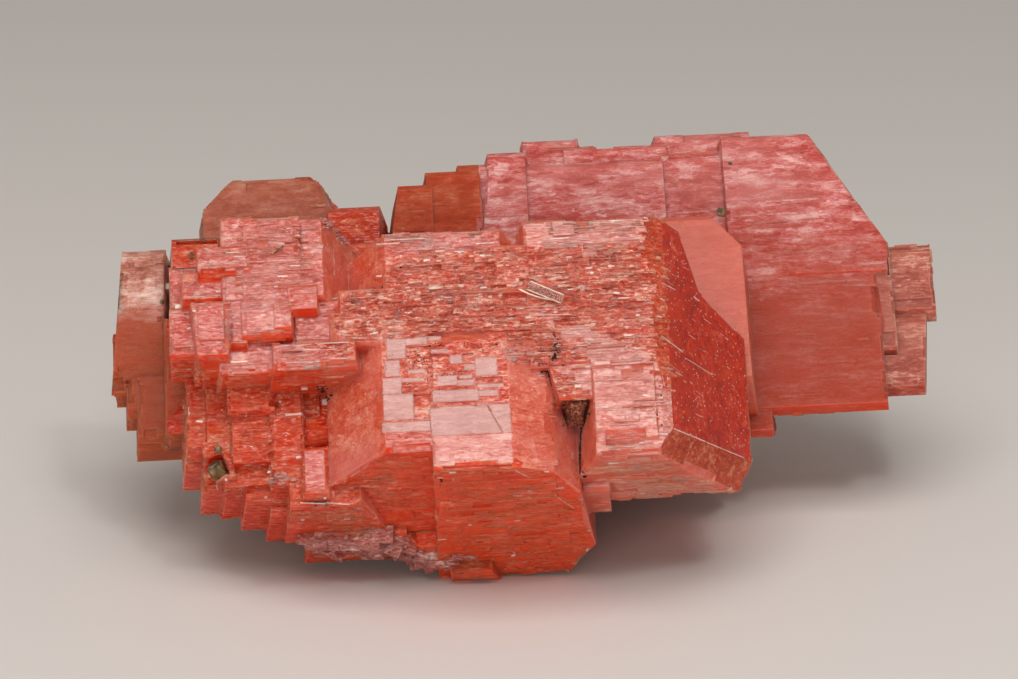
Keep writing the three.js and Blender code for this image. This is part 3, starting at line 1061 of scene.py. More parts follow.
# Patches on the shield face: (left, right, bottom, top) in the crystals' axes, in mm.
PITS = (
    (-9.5, -7.1, -2.4, -0.2),
    (-7.1, -5.5, -3.0, -1.2),
    (-4.3, -3.3, -2.0, -1.2),
    (-5.6, -3.2, -1.4, 0.0),
    (-10.4, -8.4, -4.7, -4.1),
    (-8.9, -7.3, -7.3, -4.9),
    (-7.2, -3.2, -6.3, -5.9),
    (-4.8, -4.0, -3.3, -2.9),
    (-5.5, -4.3, -3.3, -2.2),
    (-3.2, -0.8, -4.2, -3.6),
)
TILES = (
    (-11.2, -9.4, -1.4, 0.8),
    (-9.4, -6.1, -0.1, 0.7),
    (-11.4, -10.0, -3.1, -1.5),
    (-11.7, -9.9, -4.8, -3.2),
    (-11.7, -8.9, -7.3, -4.8),
    (-11.9, -7.5, -8.5, -7.5),
    (-9.9, -7.8, -3.7, -3.3),
    (-9.3, -7.7, -2.9, -2.5),
    (-7.2, -5.6, -1.1, -0.7),
    (-5.5, -4.3, -2.2, -1.4),
    (-3.2, -1.2, -3.5, -1.7),
    (-4.2, -3.2, -2.9, -2.3),
    (-6.7, -4.9, -4.3, -3.3),
    (-4.7, -3.5, -3.7, -3.3),
    (-4.9, -3.3, -4.4, -3.8),
    (-3.1, -0.7, -4.7, -4.3),
    (-7.2, -3.0, -5.9, -4.7),
    (-3.0, -1.2, -5.5, -4.9),
    (-7.5, -0.2, -9.1, -6.3),
)
GAP = 0.03  # between neighbouring tiles, in mm
CRACK = ((-1.65, -7.75, 3.0, 0.05),)  # across the largest tile: its middle, length and width
BEFORE_FRONT = -3.0  # a level in front of all the broad faces, in mm
FRONT_DEPTH = 8.0  # how far behind that level the broad faces are looked for, in mm

# Long glints on the broad faces: (middle x, middle z, length, width), in mm.
GLINTS = (
    (-5.9, 9.0, 0.8, 0.12),
    (-4.1, 8.9, 0.9, 0.1),
    (-2.2, 8.3, 2.0, 0.16),
    (-6.5, 5.3, 1.1, 0.14),
    (-11.4, 7.2, 0.9, 0.16),
    (-9.0, 10.4, 3.6, 0.08),
    (-10.6, 10.1, 2.2, 0.1),
    (-1.7, 9.6, 1.6, 0.08),
    (8.3, -2.8, 1.4, 0.3),
    (7.0, -3.1, 0.5, 0.12),
    (-24.7, 9.8, 1.6, 0.1),
    (-24.2, 9.3, 1.2, 0.08),
    (-30.2, 6.2, 0.6, 0.45),
    (-18.9, 11.3, 0.5, 0.1),
)

# Silky patches, where the face is broken into parallel threads: (left, right, bottom, top).
SPLIT_PATCHES = (
    (3.2, 7.0, 8.7, 9.7),
    (6.9, 10.9, 7.8, 8.9),
    (3.8, 12.4, 10.2, 11.2),
    (-11.0, -6.6, 9.9, 10.9),
    (-0.9, 1.9, -2.2, -1.0),
)

# Smooth pale plates among the stepped crystals at the left: (left, right, bottom, top).
PANELS = (
    (-23.8, -20.9, 1.9, 4.2),
    (-28.1, -25.8, 1.2, 4.6),
    (-30.6, -28.6, 1.8, 4.6),
    (-19.1, -17.3, -12.0, -8.1),
)


def patch(left, right, bottom, top):
    """A rectangle as its middle and its size."""
    return ((left + right) / 2, (bottom + top) / 2, right - left - GAP, top - bottom - GAP)


THREAD_WIDTHS = (0.08, 0.2)  # in mm, as all of these are
THREAD_LENGTHS = (0.5, 2.2)
THREAD_SPACES = (0.1, 1.2)  # from the end of one thread to the start of the next
ROW_SPACES = (0.02, 0.12)  # from one row of threads to the next
RAGGED_LEFT = 0.8  # how far from its left edge a row may start
RAGGED_RIGHT = 0.3  # how far past its right edge a thread may reach


def threads_in(left, right, bottom, top, draw):
    """Parallel thin strips that fill most of a rectangle."""
    strips = []
    level = bottom
    while level < top:
        width = draw.uniform(*THREAD_WIDTHS)
        start = left + draw.uniform(0, RAGGED_LEFT)
        while start < right:
            length = draw.uniform(*THREAD_LENGTHS)
            end = min(start + length, right + RAGGED_RIGHT)
            strips.append(patch(start, end, level, level + width))
            start += length + draw.uniform(*THREAD_SPACES)
        level += width + draw.uniform(*ROW_SPACES)
    return strips


def hand_placed(crust, draw, patches, operation, slot, rise, tilt=0, swing=0):
    """Blocks on the broad faces in front, each where the list says. Angles are in degrees."""
    tree = surface_of(crust.thing)
    blocks = Blocks()
    for x, z, length, width in patches:
        hit, _, _, _ = tree.ray_cast(Vector((x, BEFORE_FRONT, z)), INTO, FRONT_DEPTH)
        turn = Matrix.Rotation(draw.gauss(0, math.radians(tilt)), 3, ALONG)
        turn = turn @ Matrix.Rotation(draw.gauss(0, math.radians(tilt)), 3, UP_FACE)
        turn = turn @ Matrix.Rotation(math.radians(swing), 3, INTO)
        axes = (turn @ ALONG, turn @ UP_FACE, turn @ -INTO)
        blocks.add(hit, axes, (length, width), draw.uniform(*rise), slot, draw.random())
    crust.join(blocks, operation)


# Bright lines where an edge or a long scratch catches the light: (start, end, width), in mm.
BRIGHT_LINES = (
    ((14.3, 0.7, -9.15), (17.4, 5.0, -8.95), 0.1),
    ((17.5, 5.2, -8.95), (21.2, 10.4, -8.7), 0.07),
    ((13.4, 0.1, -0.5), (15.8, 2.6, -1.0), 0.09),
    ((15.9, 3.1, -1.5), (18.7, 6.7, -1.8), 0.05),
    ((14.1, 0.5, 5.0), (15.6, 2.2, 5.0), 0.06),
    ((14.0, 0.3, 3.6), (14.6, 1.0, 3.4), 0.12),
    ((-0.1, 0.6, -12.4), (1.8, 2.8, -12.8), 0.08),
    ((1.8, 2.8, -12.8), (3.5, 5.6, -13.2), 0.1),
    ((3.5, 5.6, -13.2), (5.2, 8.2, -13.6), 0.08),
    ((5.2, 8.2, -13.6), (6.2, 10.3, -13.9), 0.06),
    ((-19.7, 6.0, -12.6), (-17.4, 5.9, -12.8), 0.1),
    ((-17.4, 5.9, -12.8), (-15.2, 6.2, -12.9), 0.08),
    ((-20.8, -0.4, 0.3), (-17.9, -0.4, 0.3), 0.06),
    ((-17.6, -0.4, 0.2), (-14.5, -0.4, 0.3), 0.07),
    ((-19.9, -0.4, -0.2), (-15.6, -0.4, -0.3), 0.05),
    ((-20.4, -0.4, -1.3), (-16.9, -0.4, -1.3), 0.06),
    ((-16.6, -0.4, -1.2), (-14.4, -0.4, -1.3), 0.05),
)
LINE_RISE = 0.06  # in mm


def bright_lines(crust, draw):
    """Thin bright slivers laid along the listed lines."""
    tree = surface_of(crust.thing)
    blocks = Blocks()
    for start, end, width in BRIGHT_LINES:
        start, end = Vector(start), Vector(end)
        spot, normal, _, _ = tree.find_nearest((start + end) / 2)
        along = end - start
        length = along.length - GAP
        along = (along - normal * along.dot(normal)).normalized()
        axes = (along, normal.cross(along), normal)
        blocks.add(spot, axes, (length, width), LINE_RISE, GLINT, draw.random(), LINE_ROOT)
    crust.join(blocks, "UNION")


# Scratches and specks: how many, their length and width in mm, and how far they lean, in radians.
Scratches = namedtuple("Scratches", "count length width lean")
SCRATCHES = (
    Scratches(40, (0.2, 1.4), (0.02, 0.05), 0.06),
    Scratches(420, (0.05, 0.16), (0.04, 0.1), 0.6),
)
SCRATCH_SLOPE = math.radians(-6)
SCRATCH_TILT = 0.1  # in radians
SCRATCH_RISE = 0.02  # in mm


def scratches(crust, recipe, draw, amount):
    """Pale scratches and specks on the cleaved end, along the way the crystal cleaves."""
    ends = [ground for ground in crust.grounds if ground.kind == "end"]
    areas = [ground.area for ground in ends]
    tree = surface_of(crust.thing)
    blocks = Blocks()
    for ground in draw.choices(ends, areas, k=int(recipe.count * amount)):
        normal = ground.normal
        spot = spot_on(ground.corners, draw)
        hit, _, _, _ = tree.ray_cast(spot + normal * PROBE, -normal, 2 * PROBE)
        if hit is None:
            continue
        up, sideways = axes_on(normal)
        swing = draw.gauss(SCRATCH_SLOPE, recipe.lean)
        axes = swung((sideways, -up, normal), swing, draw.gauss(0, SCRATCH_TILT))
        size = (draw.uniform(*recipe.length), draw.uniform(*recipe.width))
        blocks.add(hit, axes, size, SCRATCH_RISE, GLINT, draw.random())
    crust.join(blocks, "UNION")


class SERANDITE_OT_cluster(bpy.types.Operator):
    """Grows the fine relief on the intergrown crystals"""

    bl_idname = "serandite.cluster"
    bl_label = "Intergrown crystals"

    def execute(self, context):
        settings = context.scene.serandite_relief
        draw = random.Random(settings.seed)
        materials = [serandite(look) for look in LOOKS[:CRUST]]
        crust = Crust(merged_copy("serandite_cluster"), materials)
        for recipe in OLD_WEAR:
            wear_edges(crust, recipe, draw, settings.amount)
        pits = [patch(*pit) for pit in PITS]
        hand_placed(crust, draw, pits, "DIFFERENCE", ROUGH, rise=(-0.25, -0.1))
        tiles = [patch(*tile) for tile in TILES]
        hand_placed(crust, draw, tiles, "UNION", TILE, rise=(0.03, 0.06), tilt=0.6)
        hand_placed(crust, draw, CRACK, "DIFFERENCE", ROUGH, rise=(-0.12, -0.1), swing=64)
        for recipe in GENERATIONS:
            scatter(crust, recipe, draw, settings.amount)
        for silky in SPLIT_PATCHES:
            strips = threads_in(*silky, draw)
            hand_placed(crust, draw, strips, "UNION", TILE, rise=(0.03, 0.1), tilt=3)
        panels = [patch(*panel) for panel in PANELS]
        hand_placed(crust, draw, panels, "UNION", GROWTH, rise=(0.1, 0.13), tilt=1)
        hand_placed(crust, draw, GLINTS, "UNION", GLINT, rise=(0.08, 0.14), tilt=2)
        for recipe in SCRATCHES:
            scratches(crust, recipe, draw, settings.amount)
        bright_lines(crust, draw)
        wear_edges(crust, FRESH_WEAR, draw, settings.amount)
        crust.thing.data.transform(AXES)
        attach(crust.thing, "root")
        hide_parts("serandite_cluster")
        return {"FINISHED"}


# --- Small minerals on the serandite ----------------------------------------------------------


def crystal_surface():
    """The grown crystals' surface, in the crystals' axes."""
    return surface_of(bpy.data.objects["serandite_crystals"], AXES.inverted())


def settle(name, bm, materials, node=None):
    """Turns a mesh out of the crystals' axes and makes it a piece of the specimen."""
    bmesh.ops.transform(bm, matrix=AXES, verts=bm.verts)
    thing = mesh_object(name, bm, materials)
    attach(thing, "root")
    if node:
        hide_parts(node)
    return thing


def placed(spot, angles, sides):
    """The matrix that puts a shape of unit size on a spot, turned and with the given sides."""
    turn = Euler(angles).to_matrix().to_4x4()
    return Matrix.Translation(spot) @ turn @ Matrix.Diagonal((*sides, 1))


def any_way_up(draw):
    return [draw.uniform(0, math.tau) for _ in range(3)]


GRAIN_SIDES = (0.6, 1.2)  # each side of a grain, as a share of its size
SPECK_SIDES = (0.5, 1.3)


def add_grain(bm, spot, size, draw):
    """A small pebble-shaped grain, turned at random."""
    sides = [size * draw.uniform(*GRAIN_SIDES) for _ in range(3)]
    matrix = placed(spot, any_way_up(draw), sides)
    bmesh.ops.create_icosphere(bm, subdivisions=1, radius=0.5, matrix=matrix)


def add_speck(bm, spot, size, draw):
    """A tiny blocky speck, turned at random."""
    sides = [size * draw.uniform(*SPECK_SIDES) for _ in range(3)]
    bmesh.ops.create_cube(bm, size=1, matrix=placed(spot, any_way_up(draw), sides))


FLAKE_LENGTHS = (0.9, 1.8)  # as shares of a flake's size
FLAKE_HEIGHTS = (0.3, 0.9)
FLAKE_THICKNESS = 0.3
FLAKE_LEAN = 0.16  # in radians


def add_flake(bm, spot, size, draw):
    """A thin flake, longest along the bars, that leans only a little away from them."""
    length = size * draw.uniform(*FLAKE_LENGTHS)
    sides = (length, size * FLAKE_THICKNESS, size * draw.uniform(*FLAKE_HEIGHTS))
    angles = [draw.gauss(0, FLAKE_LEAN) for _ in range(3)]
    sunk = spot + INTO * size * FLAKE_THICKNESS / 2
    bmesh.ops.create_cube(bm, size=1, matrix=placed(sunk, angles, sides))


def sprinkle(bm, tree, middle, spread, count, sizes, add, draw):
    """Grains round a point, pressed onto the crystals, most of them near the point."""
    for _ in range(count):
        offset = Vector([draw.gauss(0, width) for width in spread])
        spot, _, _, _ = tree.find_nearest(Vector(middle) + offset)
        add(bm, spot, draw.uniform(*sizes), draw)


MINERAL_RELIEF = 0.3  # how far a mottle stands out, as a share of its size


def mineral(name, stops, roughness, size, **values):
    """A plain mineral: mottled between its colours at the given size in mm, with a rough bump."""
    material = new_material(name)
    pattern = {"Scale": 1 / size, "Detail": 4.0, "Roughness": 0.6}
    links = {"Vector": crystal_coordinates(material)}
    noise = (add_node(material, "TexNoise", pattern, links), "Fac")
    ramp = set_ramp(add_node(material, "ValToRGB", links={"Fac": noise}), stops)
    relief = {"Strength": 0.6, "Distance": size * MM * MINERAL_RELIEF}
    bump = add_node(material, "Bump", relief, {"Height": noise})
    links = {"Base Color": (ramp, "Color"), "Normal": (bump, "Normal")}
    return finish_material(material, {"Roughness": roughness} | values, links)


def clear_serandite():
    """A clear sliver of serandite: glass-clear, faintly pink, with striations down its length that
    catch the light as bright lines."""
    material = new_material("Clear serandite splinter")
    slope = {"Rotation": (0, SPLINTER_SLOPE, 0)}
    links = {"Vector": crystal_coordinates(material)}
    turned = add_node(material, "Mapping", slope, links)
    lines = streaks(material, (turned, "Vector"), *STRIATIONS, 3.0)
    frosted = maths(material, "MULTIPLY", lines, 0.2, clamp=True)
    relief = {"Strength": 0.6, "Distance": STRIATION_DEPTH * MM}
    bump = add_node(material, "Bump", relief, {"Height": lines})
    values = {"Base Color": linear("#FFE4D8"), "IOR": SERANDITE_IOR, "Transmission Weight": 0.95}
    return finish_material(material, values, {"Roughness": frosted, "Normal": (bump, "Normal")})


STRIATIONS = (3.0, 0.12)  # their length and width along the splinter, in mm
STRIATION_DEPTH = 0.05  # in mm
SPLINTER_SLOPE = math.radians(27)  # how far it lies across the bars
SPLINTER_ROLL = math.radians(16)  # tips it about its own length, so that it doesn't lie flat
SPLINTER_BREAK = Vector((1, 0, 0.55))  # the way its ends are broken across
SPLINTER_ENDS = ((-1, 1.35), (1, 1.55))  # each end's side, and its distance in mm from the middle
FROSTED_AREA = 0.4  # faces of the splinter below this area in square mm are rough and near-white, partly a painted highlight
SLIVER_SIDES = 5
SLIVER_STEPS = 10
SLIVER = ((0.7, -0.2, 5.2), (4.4, -0.2, 3.6), 0.28, 0.16)  # its start, end, sag and thickness


def curved_sliver(bm, start, end, sag, thickness):
    """A thin bent sliver between two points on the broad face, sagging downwards."""
    start, end = Vector(start), Vector(end)
    chord = end - start
    radius = chord.length**2 / (8 * sag) + sag / 2
    middle = (start + end) / 2
    rise = chord.cross(INTO).normalized()
    rise = rise if rise.dot(UP_FACE) > 0 else -rise
    centre = middle + rise * (radius - sag)
    half = math.asin(chord.length / 2 / radius)
    spoke = (start - centre).normalized()
    axes = Matrix((spoke, chord.normalized(), INTO)).transposed().to_4x4()
    upright = Matrix.Rotation(math.radians(90), 4, "X")
    matrix = Matrix.Translation(start) @ axes @ upright
    ring = bmesh.ops.create_circle(
        bm, cap_ends=True, segments=SLIVER_SIDES, radius=thickness / 2, matrix=matrix
    )
    (cap,) = ring["verts"][0].link_faces
    turn = spoke.cross((end - centre).normalized()).dot(INTO)
    bmesh.ops.spin(
        bm,
        geom=cap.verts[:] + cap.edges[:] + [cap],
        cent=centre,
        axis=INTO,
        angle=math.copysign(2 * half, turn),
        steps=SLIVER_STEPS,
    )


class SERANDITE_OT_splinter(bpy.types.Operator):
    """Makes the clear cleavage splinter that lies on the big crystal"""

    bl_idname = "serandite.splinter"
    bl_label = "Clear splinter"

    def execute(self, context):
        bm = merged_copy("glassy_splinter")
        length = Vector((math.cos(SPLINTER_SLOPE), 0, -math.sin(SPLINTER_SLOPE)))
        roll = Matrix.Rotation(SPLINTER_ROLL, 3, length)
        bmesh.ops.rotate(bm, verts=bm.verts, cent=SPLINTER_CENTRE, matrix=roll)
        slanted = Matrix.Rotation(-SPLINTER_SLOPE, 3, INTO) @ SPLINTER_BREAK
        for side, reach in SPLINTER_ENDS:
            end = SPLINTER_CENTRE + slanted.normalized() * side * reach
            cut_off(bm, end, slanted * side)
        curved_sliver(bm, *SLIVER)
        bmesh.ops.recalc_face_normals(bm, faces=bm.faces)
        # The small faces are near-white and frosted: partly the rough broken edges, partly a
        # painted highlight along them.
        stops = ((0.3, "#E8B8A0"), (0.5, "#F6DCC8"), (0.7, "#FFF4E4"))
        frosted = mineral("Serandite splinter, frosted edges", stops, 0.3, 0.3, IOR=SERANDITE_IOR)
        for face in bm.faces:
            face.material_index = 1 if face.calc_area() < FROSTED_AREA else 0
        materials = [clear_serandite(), frosted]
        settle("clear_splinter", bm, materials, "glassy_splinter")
        return {"FINISHED"}


# The seated grain's middle, in the crystals' axes.
OLIVE_CENTRE = Vector((-27.4, 7.95, -8.2))
OLIVE_CORNERS = (  # the way to each broken corner
    Vector((1, -1, 1)),
    Vector((-1, -0.7, 0.9)),
    Vector((0.8, -1, -1.2)),
    Vector((-1, 0.2, -0.6)),
)
OLIVE_REACH = 0.62  # from its middle to a broken corner, in mm
OLIVE_ROUNDING = 0.12  # in mm

# The smaller grains: (middle, size), in mm.
OLIVE_GRAINS = (
    ((-27.1, 7.4, -6.5), 0.9),
    ((22.1, 23.0, 21.7), 1.1),
    ((23.3, 22.0, 26.5), 0.6),
    ((-31.9, 17.7, 16.6), 0.8),
    ((-29.5, 13.2, 15.5), 0.9),
    ((-32.6, 16.5, 12.3), 0.8),
    ((-28.4, 13.2, 17.0), 0.6),
)


class SERANDITE_OT_olive(bpy.types.Operator):
    """Makes the olive-green grains that sit between the crystals"""

    bl_idname = "serandite.olive"
    bl_label = "Olive grains"

    def execute(self, context):
        draw = random.Random(context.scene.serandite_relief.seed + 1)
        tree = crystal_surface()
        stops = ((0.3, "#20160A"), (0.45, "#564426"), (0.6, "#8A7C54"), (0.8, "#C0B48E"))
        olive = mineral("Olive-green pyroxene, etched dull", stops, 0.45, 0.8, IOR=1.7)
        bm = merged_copy("olive_grain")
        for outward in OLIVE_CORNERS:
            corner = OLIVE_CENTRE + outward.normalized() * OLIVE_REACH
            cut_off(bm, corner, outward)
        bmesh.ops.bevel(
            bm,
            geom=bm.edges[:],
            offset=OLIVE_ROUNDING,
            segments=2,
            profile=0.5,
            affect="EDGES",
            material=-1,
        )
        settle("olive_grain_seated", bm, [olive], "olive_grain")
        bm = bmesh.new()
        for middle, size in OLIVE_GRAINS:
            spot, _, _, _ = tree.find_nearest(Vector(middle))
            add_grain(bm, spot, size, draw)
        settle("olive_grains_small", bm, [olive])
        return {"FINISHED"}


# The line of the cleft's bottom, downwards from the fill.
CLEFT = ((5.85, 3.6, -7.2), (6.0, 4.3, -8.6), (6.15, 4.8, -10.2), (6.3, 5.2, -12.0))
FILL_CUTS = 5  # how finely each side of the fill is divided
FILL_SHRINKING = -0.05  # how far the fill draws back from the cleft's walls on average, in mm
FILL_BUMPS = 0.06  # how uneven it is, in mm
FILL_HEAD = (-7.6, -6.0)  # the levels in mm between which loose granules lie on it
FILL_FRONT = 2.5  # only what is nearer than this carries granules, in mm
GRANULE_SHARE = 0.5  # share of the faces there that carry one
GRANULES = (0.06, 0.2)  # their sizes in mm


def trail(bm, tree, points, count, spread, sizes, draw):
    """Specks strung along a line, pressed onto the crystals."""
    points = [Vector(point) for point in points]
    for _ in range(count):
        along = draw.random() * (len(points) - 1)
        step = int(along)
        middle = points[step].lerp(points[step + 1], along - step)
        sprinkle(bm, tree, middle, (spread, spread, spread), 1, sizes, add_speck, draw)


class SERANDITE_OT_cleft(bpy.types.Operator):
    """Makes the dark granular fill at the head of the cleft and down its bottom"""

    bl_idname = "serandite.cleft"
    bl_label = "Cleft fill"

    def execute(self, context):
        draw = random.Random(context.scene.serandite_relief.seed + 2)
        tree = crystal_surface()
        stops = ((0.35, "#341206"), (0.5, "#844630"), (0.65, "#BC7A60"))
        fill = mineral("Dark granular cleft fill, dry and matt", stops, 0.85, 0.25)
        bm = merged_copy("cleft_fill")
        bmesh.ops.subdivide_edges(bm, edges=bm.edges[:], cuts=FILL_CUTS, use_grid_fill=True)
        for vert in bm.verts:
            vert.co += vert.normal * draw.gauss(FILL_SHRINKING, FILL_BUMPS)
        bmesh.ops.triangulate(bm, faces=bm.faces[:])
        low, high = FILL_HEAD
        for face in list(bm.faces):
            centre = face.calc_center_median()
            carries = draw.random() < GRANULE_SHARE
            if carries and low < centre.z < high and centre.y < FILL_FRONT:
                add_speck(bm, centre, draw.uniform(*GRANULES), draw)
        settle("cleft_fill_granular", bm, [fill], "cleft_fill")
        return {"FINISHED"}


# Where dark specks gather: (middle, spread along x, y and z, how many, their sizes), in mm.
SPECKS = (
    ((-14.0, 0.3, 4.5), (0.05, 0.05, 0.05), 3, (0.15, 0.25)),
    ((-11.3, 0.8, 6.0), (0.05, 0.05, 0.05), 2, (0.1, 0.2)),
    ((-9.5, 0.2, 7.8), (0.05, 0.05, 0.05), 2, (0.1, 0.2)),
    ((-4.5, 0.0, 8.9), (0.1, 0.05, 0.05), 2, (0.08, 0.14)),
    ((-4.6, 0.0, 2.9), (0.1, 0.05, 0.05), 3, (0.08, 0.14)),
    ((4.2, 0.0, -1.2), (0.35, 0.2, 0.6), 60, (0.07, 0.18)),
    ((3.6, 1.2, -2.7), (0.34, 0.1, 0.26), 60, (0.07, 0.2)),
    ((2.6, 0.3, -2.4), (0.5, 0.1, 0.08), 20, (0.06, 0.14)),
    ((-3.4, 0.3, -0.8), (0.7, 0.1, 0.35), 50, (0.04, 0.11)),
    ((-8.3, 0.2, -1.4), (0.5, 0.1, 0.6), 70, (0.04, 0.11)),
    ((-6.7, 0.0, -0.3), (0.4, 0.1, 0.12), 16, (0.05, 0.12)),
    ((-5.7, 0.0, -3.2), (0.8, 0.1, 0.05), 34, (0.05, 0.1)),
    ((-6.4, 0.0, -4.6), (0.9, 0.1, 0.05), 14, (0.04, 0.08)),
    ((-1.4, 0.0, -0.5), (0.5, 0.1, 0.1), 14, (0.05, 0.1)),
    ((12.2, 0.0, -7.6), (0.35, 0.1, 0.1), 12, (0.05, 0.1)),
    ((-17.2, 5.4, -2.4), (0.4, 0.5, 0.2), 24, (0.08, 0.2)),
    ((-30.4, 9.0, 7.6), (0.1, 0.1, 0.2), 4, (0.2, 0.5)),
    ((0.0, 0.1, 1.5), (12.0, 0.1, 5.5), 140, (0.03, 0.08)),
    ((6.0, 2.4, -6.6), (0.5, 0.8, 0.4), 70, (0.05, 0.16)),
)

# Specks strung along lines: (points, how many, how far they stray), in mm.
TRAILS = (
    (((3.7, 1.4, -3.2), (4.0, 2.2, -5.0), (4.9, 2.8, -6.0), (5.8, 3.4, -7.0)), 60, 0.06),
    (CLEFT, 260, 0.07),
    (((13.1, 0.1, 8.0), (13.2, 0.1, 0.0), (13.2, 0.1, -9.0)), 14, 0.15),
    (((-6.8, 1.6, -12.6), (-6.8, 2.7, -12.7)), 14, 0.04),
)
TRAIL_SIZES = (0.06, 0.18)  # of their specks, in mm


class SERANDITE_OT_specks(bpy.types.Operator):
    """Makes the dark specks scattered over the broad faces and strung along the cleft"""

    bl_idname = "serandite.specks"
    bl_label = "Dark specks"

    def execute(self, context):
        draw = random.Random(context.scene.serandite_relief.seed + 3)
        tree = crystal_surface()
        bm = bmesh.new()
        for middle, spread, count, sizes in SPECKS:
            sprinkle(bm, tree, middle, spread, count, sizes, add_speck, draw)
        for points, count, spread in TRAILS:
            trail(bm, tree, points, count, spread, TRAIL_SIZES, draw)
        stops = ((0.3, "#120402"), (0.6, "#2C0E06"), (0.8, "#5A2A18"))
        dark = mineral("Manganese oxide specks, dull black-brown", stops, 0.6, 0.2)
        settle("dark_specks", bm, [dark])
        return {"FINISHED"}


# Pale crusts: (middle, spread along x, y and z, how many grains, their sizes), in mm.
CRUSTS = (
    ((-10.1, 0.1, 3.0), (0.25, 0.05, 0.3), 30, (0.1, 0.35)),
    ((-13.7, 0.3, 4.6), (0.3, 0.05, 0.15), 14, (0.1, 0.3)),
    ((-5.6, 0.0, 4.5), (0.35, 0.05, 0.35), 34, (0.1, 0.35)),
    ((-3.4, 0.0, 3.4), (0.7, 0.05, 0.2), 34, (0.1, 0.3)),
    ((-2.2, 0.0, 5.6), (0.25, 0.05, 0.2), 10, (0.1, 0.25)),
    ((-16.6, 2.0, 13.0), (1.2, 1.0, 0.3), 50, (0.2, 0.6)),
    ((-15.4, 4.0, 12.4), (0.8, 1.0, 0.3), 30, (0.2, 0.5)),
    ((-21.4, 5.6, -10.3), (0.8, 0.2, 0.3), 40, (0.15, 0.5)),
    ((-16.4, 14.4, -13.4), (2.0, 0.9, 0.3), 34, (0.8, 2.6)),
    ((-12.6, 16.5, -13.6), (2.0, 0.8, 0.3), 28, (0.8, 2.4)),
    ((-7.8, 18.1, -14.4), (1.6, 0.7, 0.4), 34, (0.8, 2.4)),
    ((-14.4, 15.4, -13.5), (3.0, 0.9, 0.3), 50, (0.1, 0.3)),
    ((-7.8, 18.1, -14.4), (1.6, 0.7, 0.4), 30, (0.1, 0.3)),
)


class SERANDITE_OT_crusts(bpy.types.Operator):
    """Makes the pale granular crusts on the crystals and under them"""

    bl_idname = "serandite.crusts"
    bl_label = "Pale crusts"

    def execute(self, context):
        draw = random.Random(context.scene.serandite_relief.seed + 4)
        tree = crystal_surface()
        bm = bmesh.new()
        for middle, spread, count, sizes in CRUSTS:
            sprinkle(bm, tree, middle, spread, count, sizes, add_flake, draw)
        sugary = serandite(LOOKS[CRUST])
        settle("pale_crusts", bm, [sugary])
        return {"FINISHED"}


FIBRE_ENDS = ((-21.4, 0, 9.4), (-20.2, 0, 10.3))
FIBRE_SAG = 0.05  # in mm
FIBRE_THICKNESS = 0.15  # in mm, which is also how far it is lifted off the crystal


class SERANDITE_OT_fibre(bpy.types.Operator):
    """Makes the fibre of dust on the stepped crystals at the upper left"""

    bl_idname = "serandite.fibre"
    bl_label = "Dust fibre"

    def execute(self, context):
        tree = crystal_surface()
        bm = bmesh.new()
        lift = -INTO * FIBRE_THICKNESS
        low, high = (tree.find_nearest(Vector(end))[0] + lift for end in FIBRE_ENDS)
        curved_sliver(bm, low, high, FIBRE_SAG, FIBRE_THICKNESS)
        bmesh.ops.recalc_face_normals(bm, faces=bm.faces)
        stops = ((0.35, "#2A1206"), (0.55, "#7A4A18"), (0.7, "#D8A450"))
        fibre = mineral("Dust fibre, brown and golden", stops, 0.5, 0.3)
        settle("dust_fibre", bm, [fibre])
        return {"FINISHED"}


# --- Stage ------------------------------------------------------------------------------------

FLOOR_SIZE = 4.0  # half the floor's side, in m
FULL_FRAME = 36.0  # width of the camera's sensor, in mm
PAPER_GRAIN = 400.0  # grains of the paper per metre
PAPER_RELIEF = 0.0002  # in m


def area_light(name, size, power, elevation, azimuth, distance, colour):
    """A softbox that looks at the specimen from the given angles, in degrees."""
    data = bpy.data.lights.new(name, "AREA")
    data.shape = "RECTANGLE"
    data.size, data.size_y = size
    data.energy = power
    data.color = linear(colour)[:3]
    light = bpy.data.objects.new(name, data)
    elevation, azimuth = math.radians(elevation), math.radians(azimuth)
    flat = math.cos(elevation)
    away = Vector((math.sin(azimuth) * flat, -math.cos(azimuth) * flat, math.sin(elevation)))
    light.location = AXES_ORIGIN + away * distance
    light.rotation_euler = away.to_track_quat("Z", "Y").to_euler()
    bpy.context.scene.collection.objects.link(light)


def floor_material():
    """Matt pale paper, the plain ground of a studio table."""
    material = new_material("Matt pale paper")
    place = (add_node(material, "TexCoord"), "Object")
    grain = {"Scale": PAPER_GRAIN, "Detail": 4.0}
    noise = (add_node(material, "TexNoise", grain, {"Vector": place}), "Fac")
    relief = {"Strength": 0.05, "Distance": PAPER_RELIEF}
    bump = add_node(material, "Bump", relief, {"Height": noise})
    values = {"Base Color": linear("#D9D8D6"), "Roughness": 0.8}
    return finish_material(material, values, {"Normal": (bump, "Normal")})


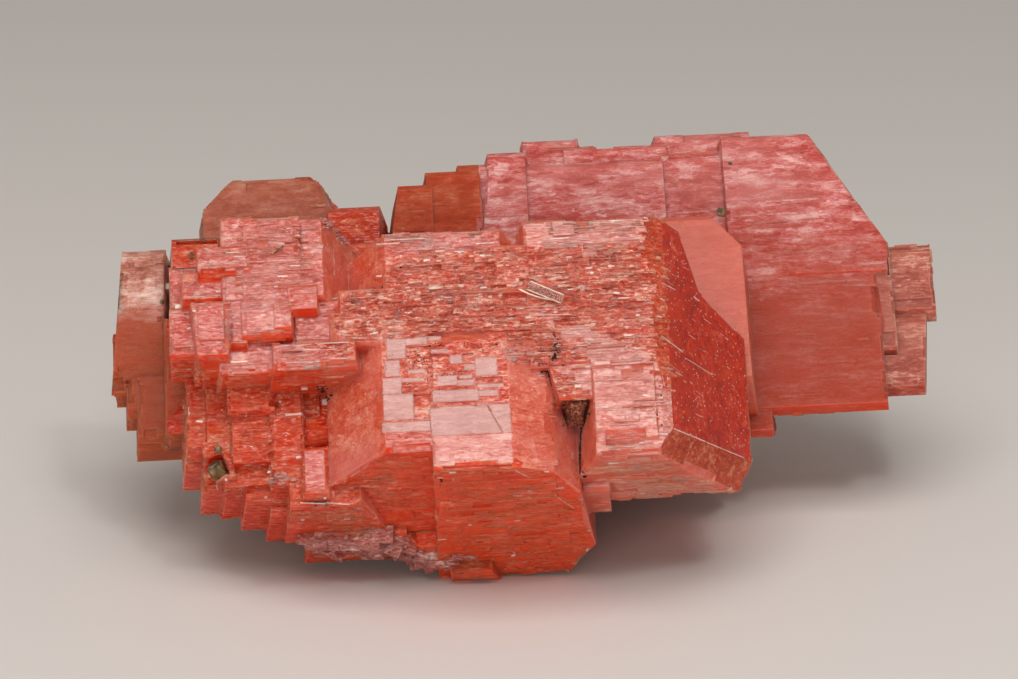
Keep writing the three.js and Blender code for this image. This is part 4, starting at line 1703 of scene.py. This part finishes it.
class SERANDITE_OT_stage(bpy.types.Operator):
    """Sets up the pale floor, the soft lights and the camera"""

    bl_idname = "serandite.stage"
    bl_label = "Floor, lights and camera"

    def execute(self, context):
        settings = context.scene.serandite_stage
        bm = bmesh.new()
        bmesh.ops.create_grid(bm, x_segments=1, y_segments=1, size=FLOOR_SIZE)
        floor = mesh_object("floor", bm, [floor_material()])

        away = Vector((0, -math.cos(settings.elevation), math.sin(settings.elevation)))
        data = bpy.data.cameras.new("camera")
        data.lens = settings.lens
        data.sensor_width = FULL_FRAME
        data.clip_start = 0.01
        camera = bpy.data.objects.new("camera", data)
        camera.location = AXES_ORIGIN + away * settings.distance
        camera.rotation_euler = away.to_track_quat("Z", "Y").to_euler()
        context.scene.collection.objects.link(camera)
        context.scene.camera = camera

        area_light("softbox", (0.36, 0.28), settings.key, 64, 0, 0.42, "#FFF8F2")
        area_light("sparkle", (0.05, 0.05), 0.25, 52, 24, 0.5, "#FFFFFF")
        area_light("front_fill", (0.6, 0.14), 1.35, 8, -12, 0.6, "#FFF4EA")
        world = bpy.data.worlds.new("studio")
        world.use_nodes = True
        background = world.node_tree.nodes["Background"]
        background.inputs["Color"].default_value = linear("#FBEFE6")
        background.inputs["Strength"].default_value = settings.ambient
        context.scene.world = world
        context.scene.view_settings.view_transform = "Standard"
        return {"FINISHED"}


class SERANDITE_PT_panel(bpy.types.Panel):
    """Lists the settings and what makes each piece"""

    bl_label = "Serandite specimen"
    bl_idname = "SERANDITE_PT_panel"
    bl_space_type = "VIEW_3D"
    bl_region_type = "UI"
    bl_category = "Serandite"

    def draw(self, context):
        layout = self.layout
        for group in (context.scene.serandite_relief, context.scene.serandite_stage):
            for name in group.__annotations__:
                layout.prop(group, name)
        for operator in OPERATORS:
            layout.operator(operator.bl_idname)


OPERATORS = (
    SERANDITE_OT_cluster,
    SERANDITE_OT_splinter,
    SERANDITE_OT_olive,
    SERANDITE_OT_cleft,
    SERANDITE_OT_specks,
    SERANDITE_OT_crusts,
    SERANDITE_OT_fibre,
    SERANDITE_OT_stage,
)
CLASSES = (SeranditeRelief, SeranditeStage, *OPERATORS, SERANDITE_PT_panel)


def register():
    for cls in CLASSES:
        bpy.utils.register_class(cls)
    bpy.types.Scene.serandite_relief = bpy.props.PointerProperty(type=SeranditeRelief)
    bpy.types.Scene.serandite_stage = bpy.props.PointerProperty(type=SeranditeStage)


def unregister():
    del bpy.types.Scene.serandite_stage
    del bpy.types.Scene.serandite_relief
    for cls in reversed(CLASSES):
        bpy.utils.unregister_class(cls)


def main():
    register()
    bpy.ops.serandite.cluster()
    bpy.ops.serandite.splinter()
    bpy.ops.serandite.olive()
    bpy.ops.serandite.cleft()
    bpy.ops.serandite.specks()
    bpy.ops.serandite.crusts()
    bpy.ops.serandite.fibre()
    bpy.ops.serandite.stage()


if __name__ == "__main__":
    main()
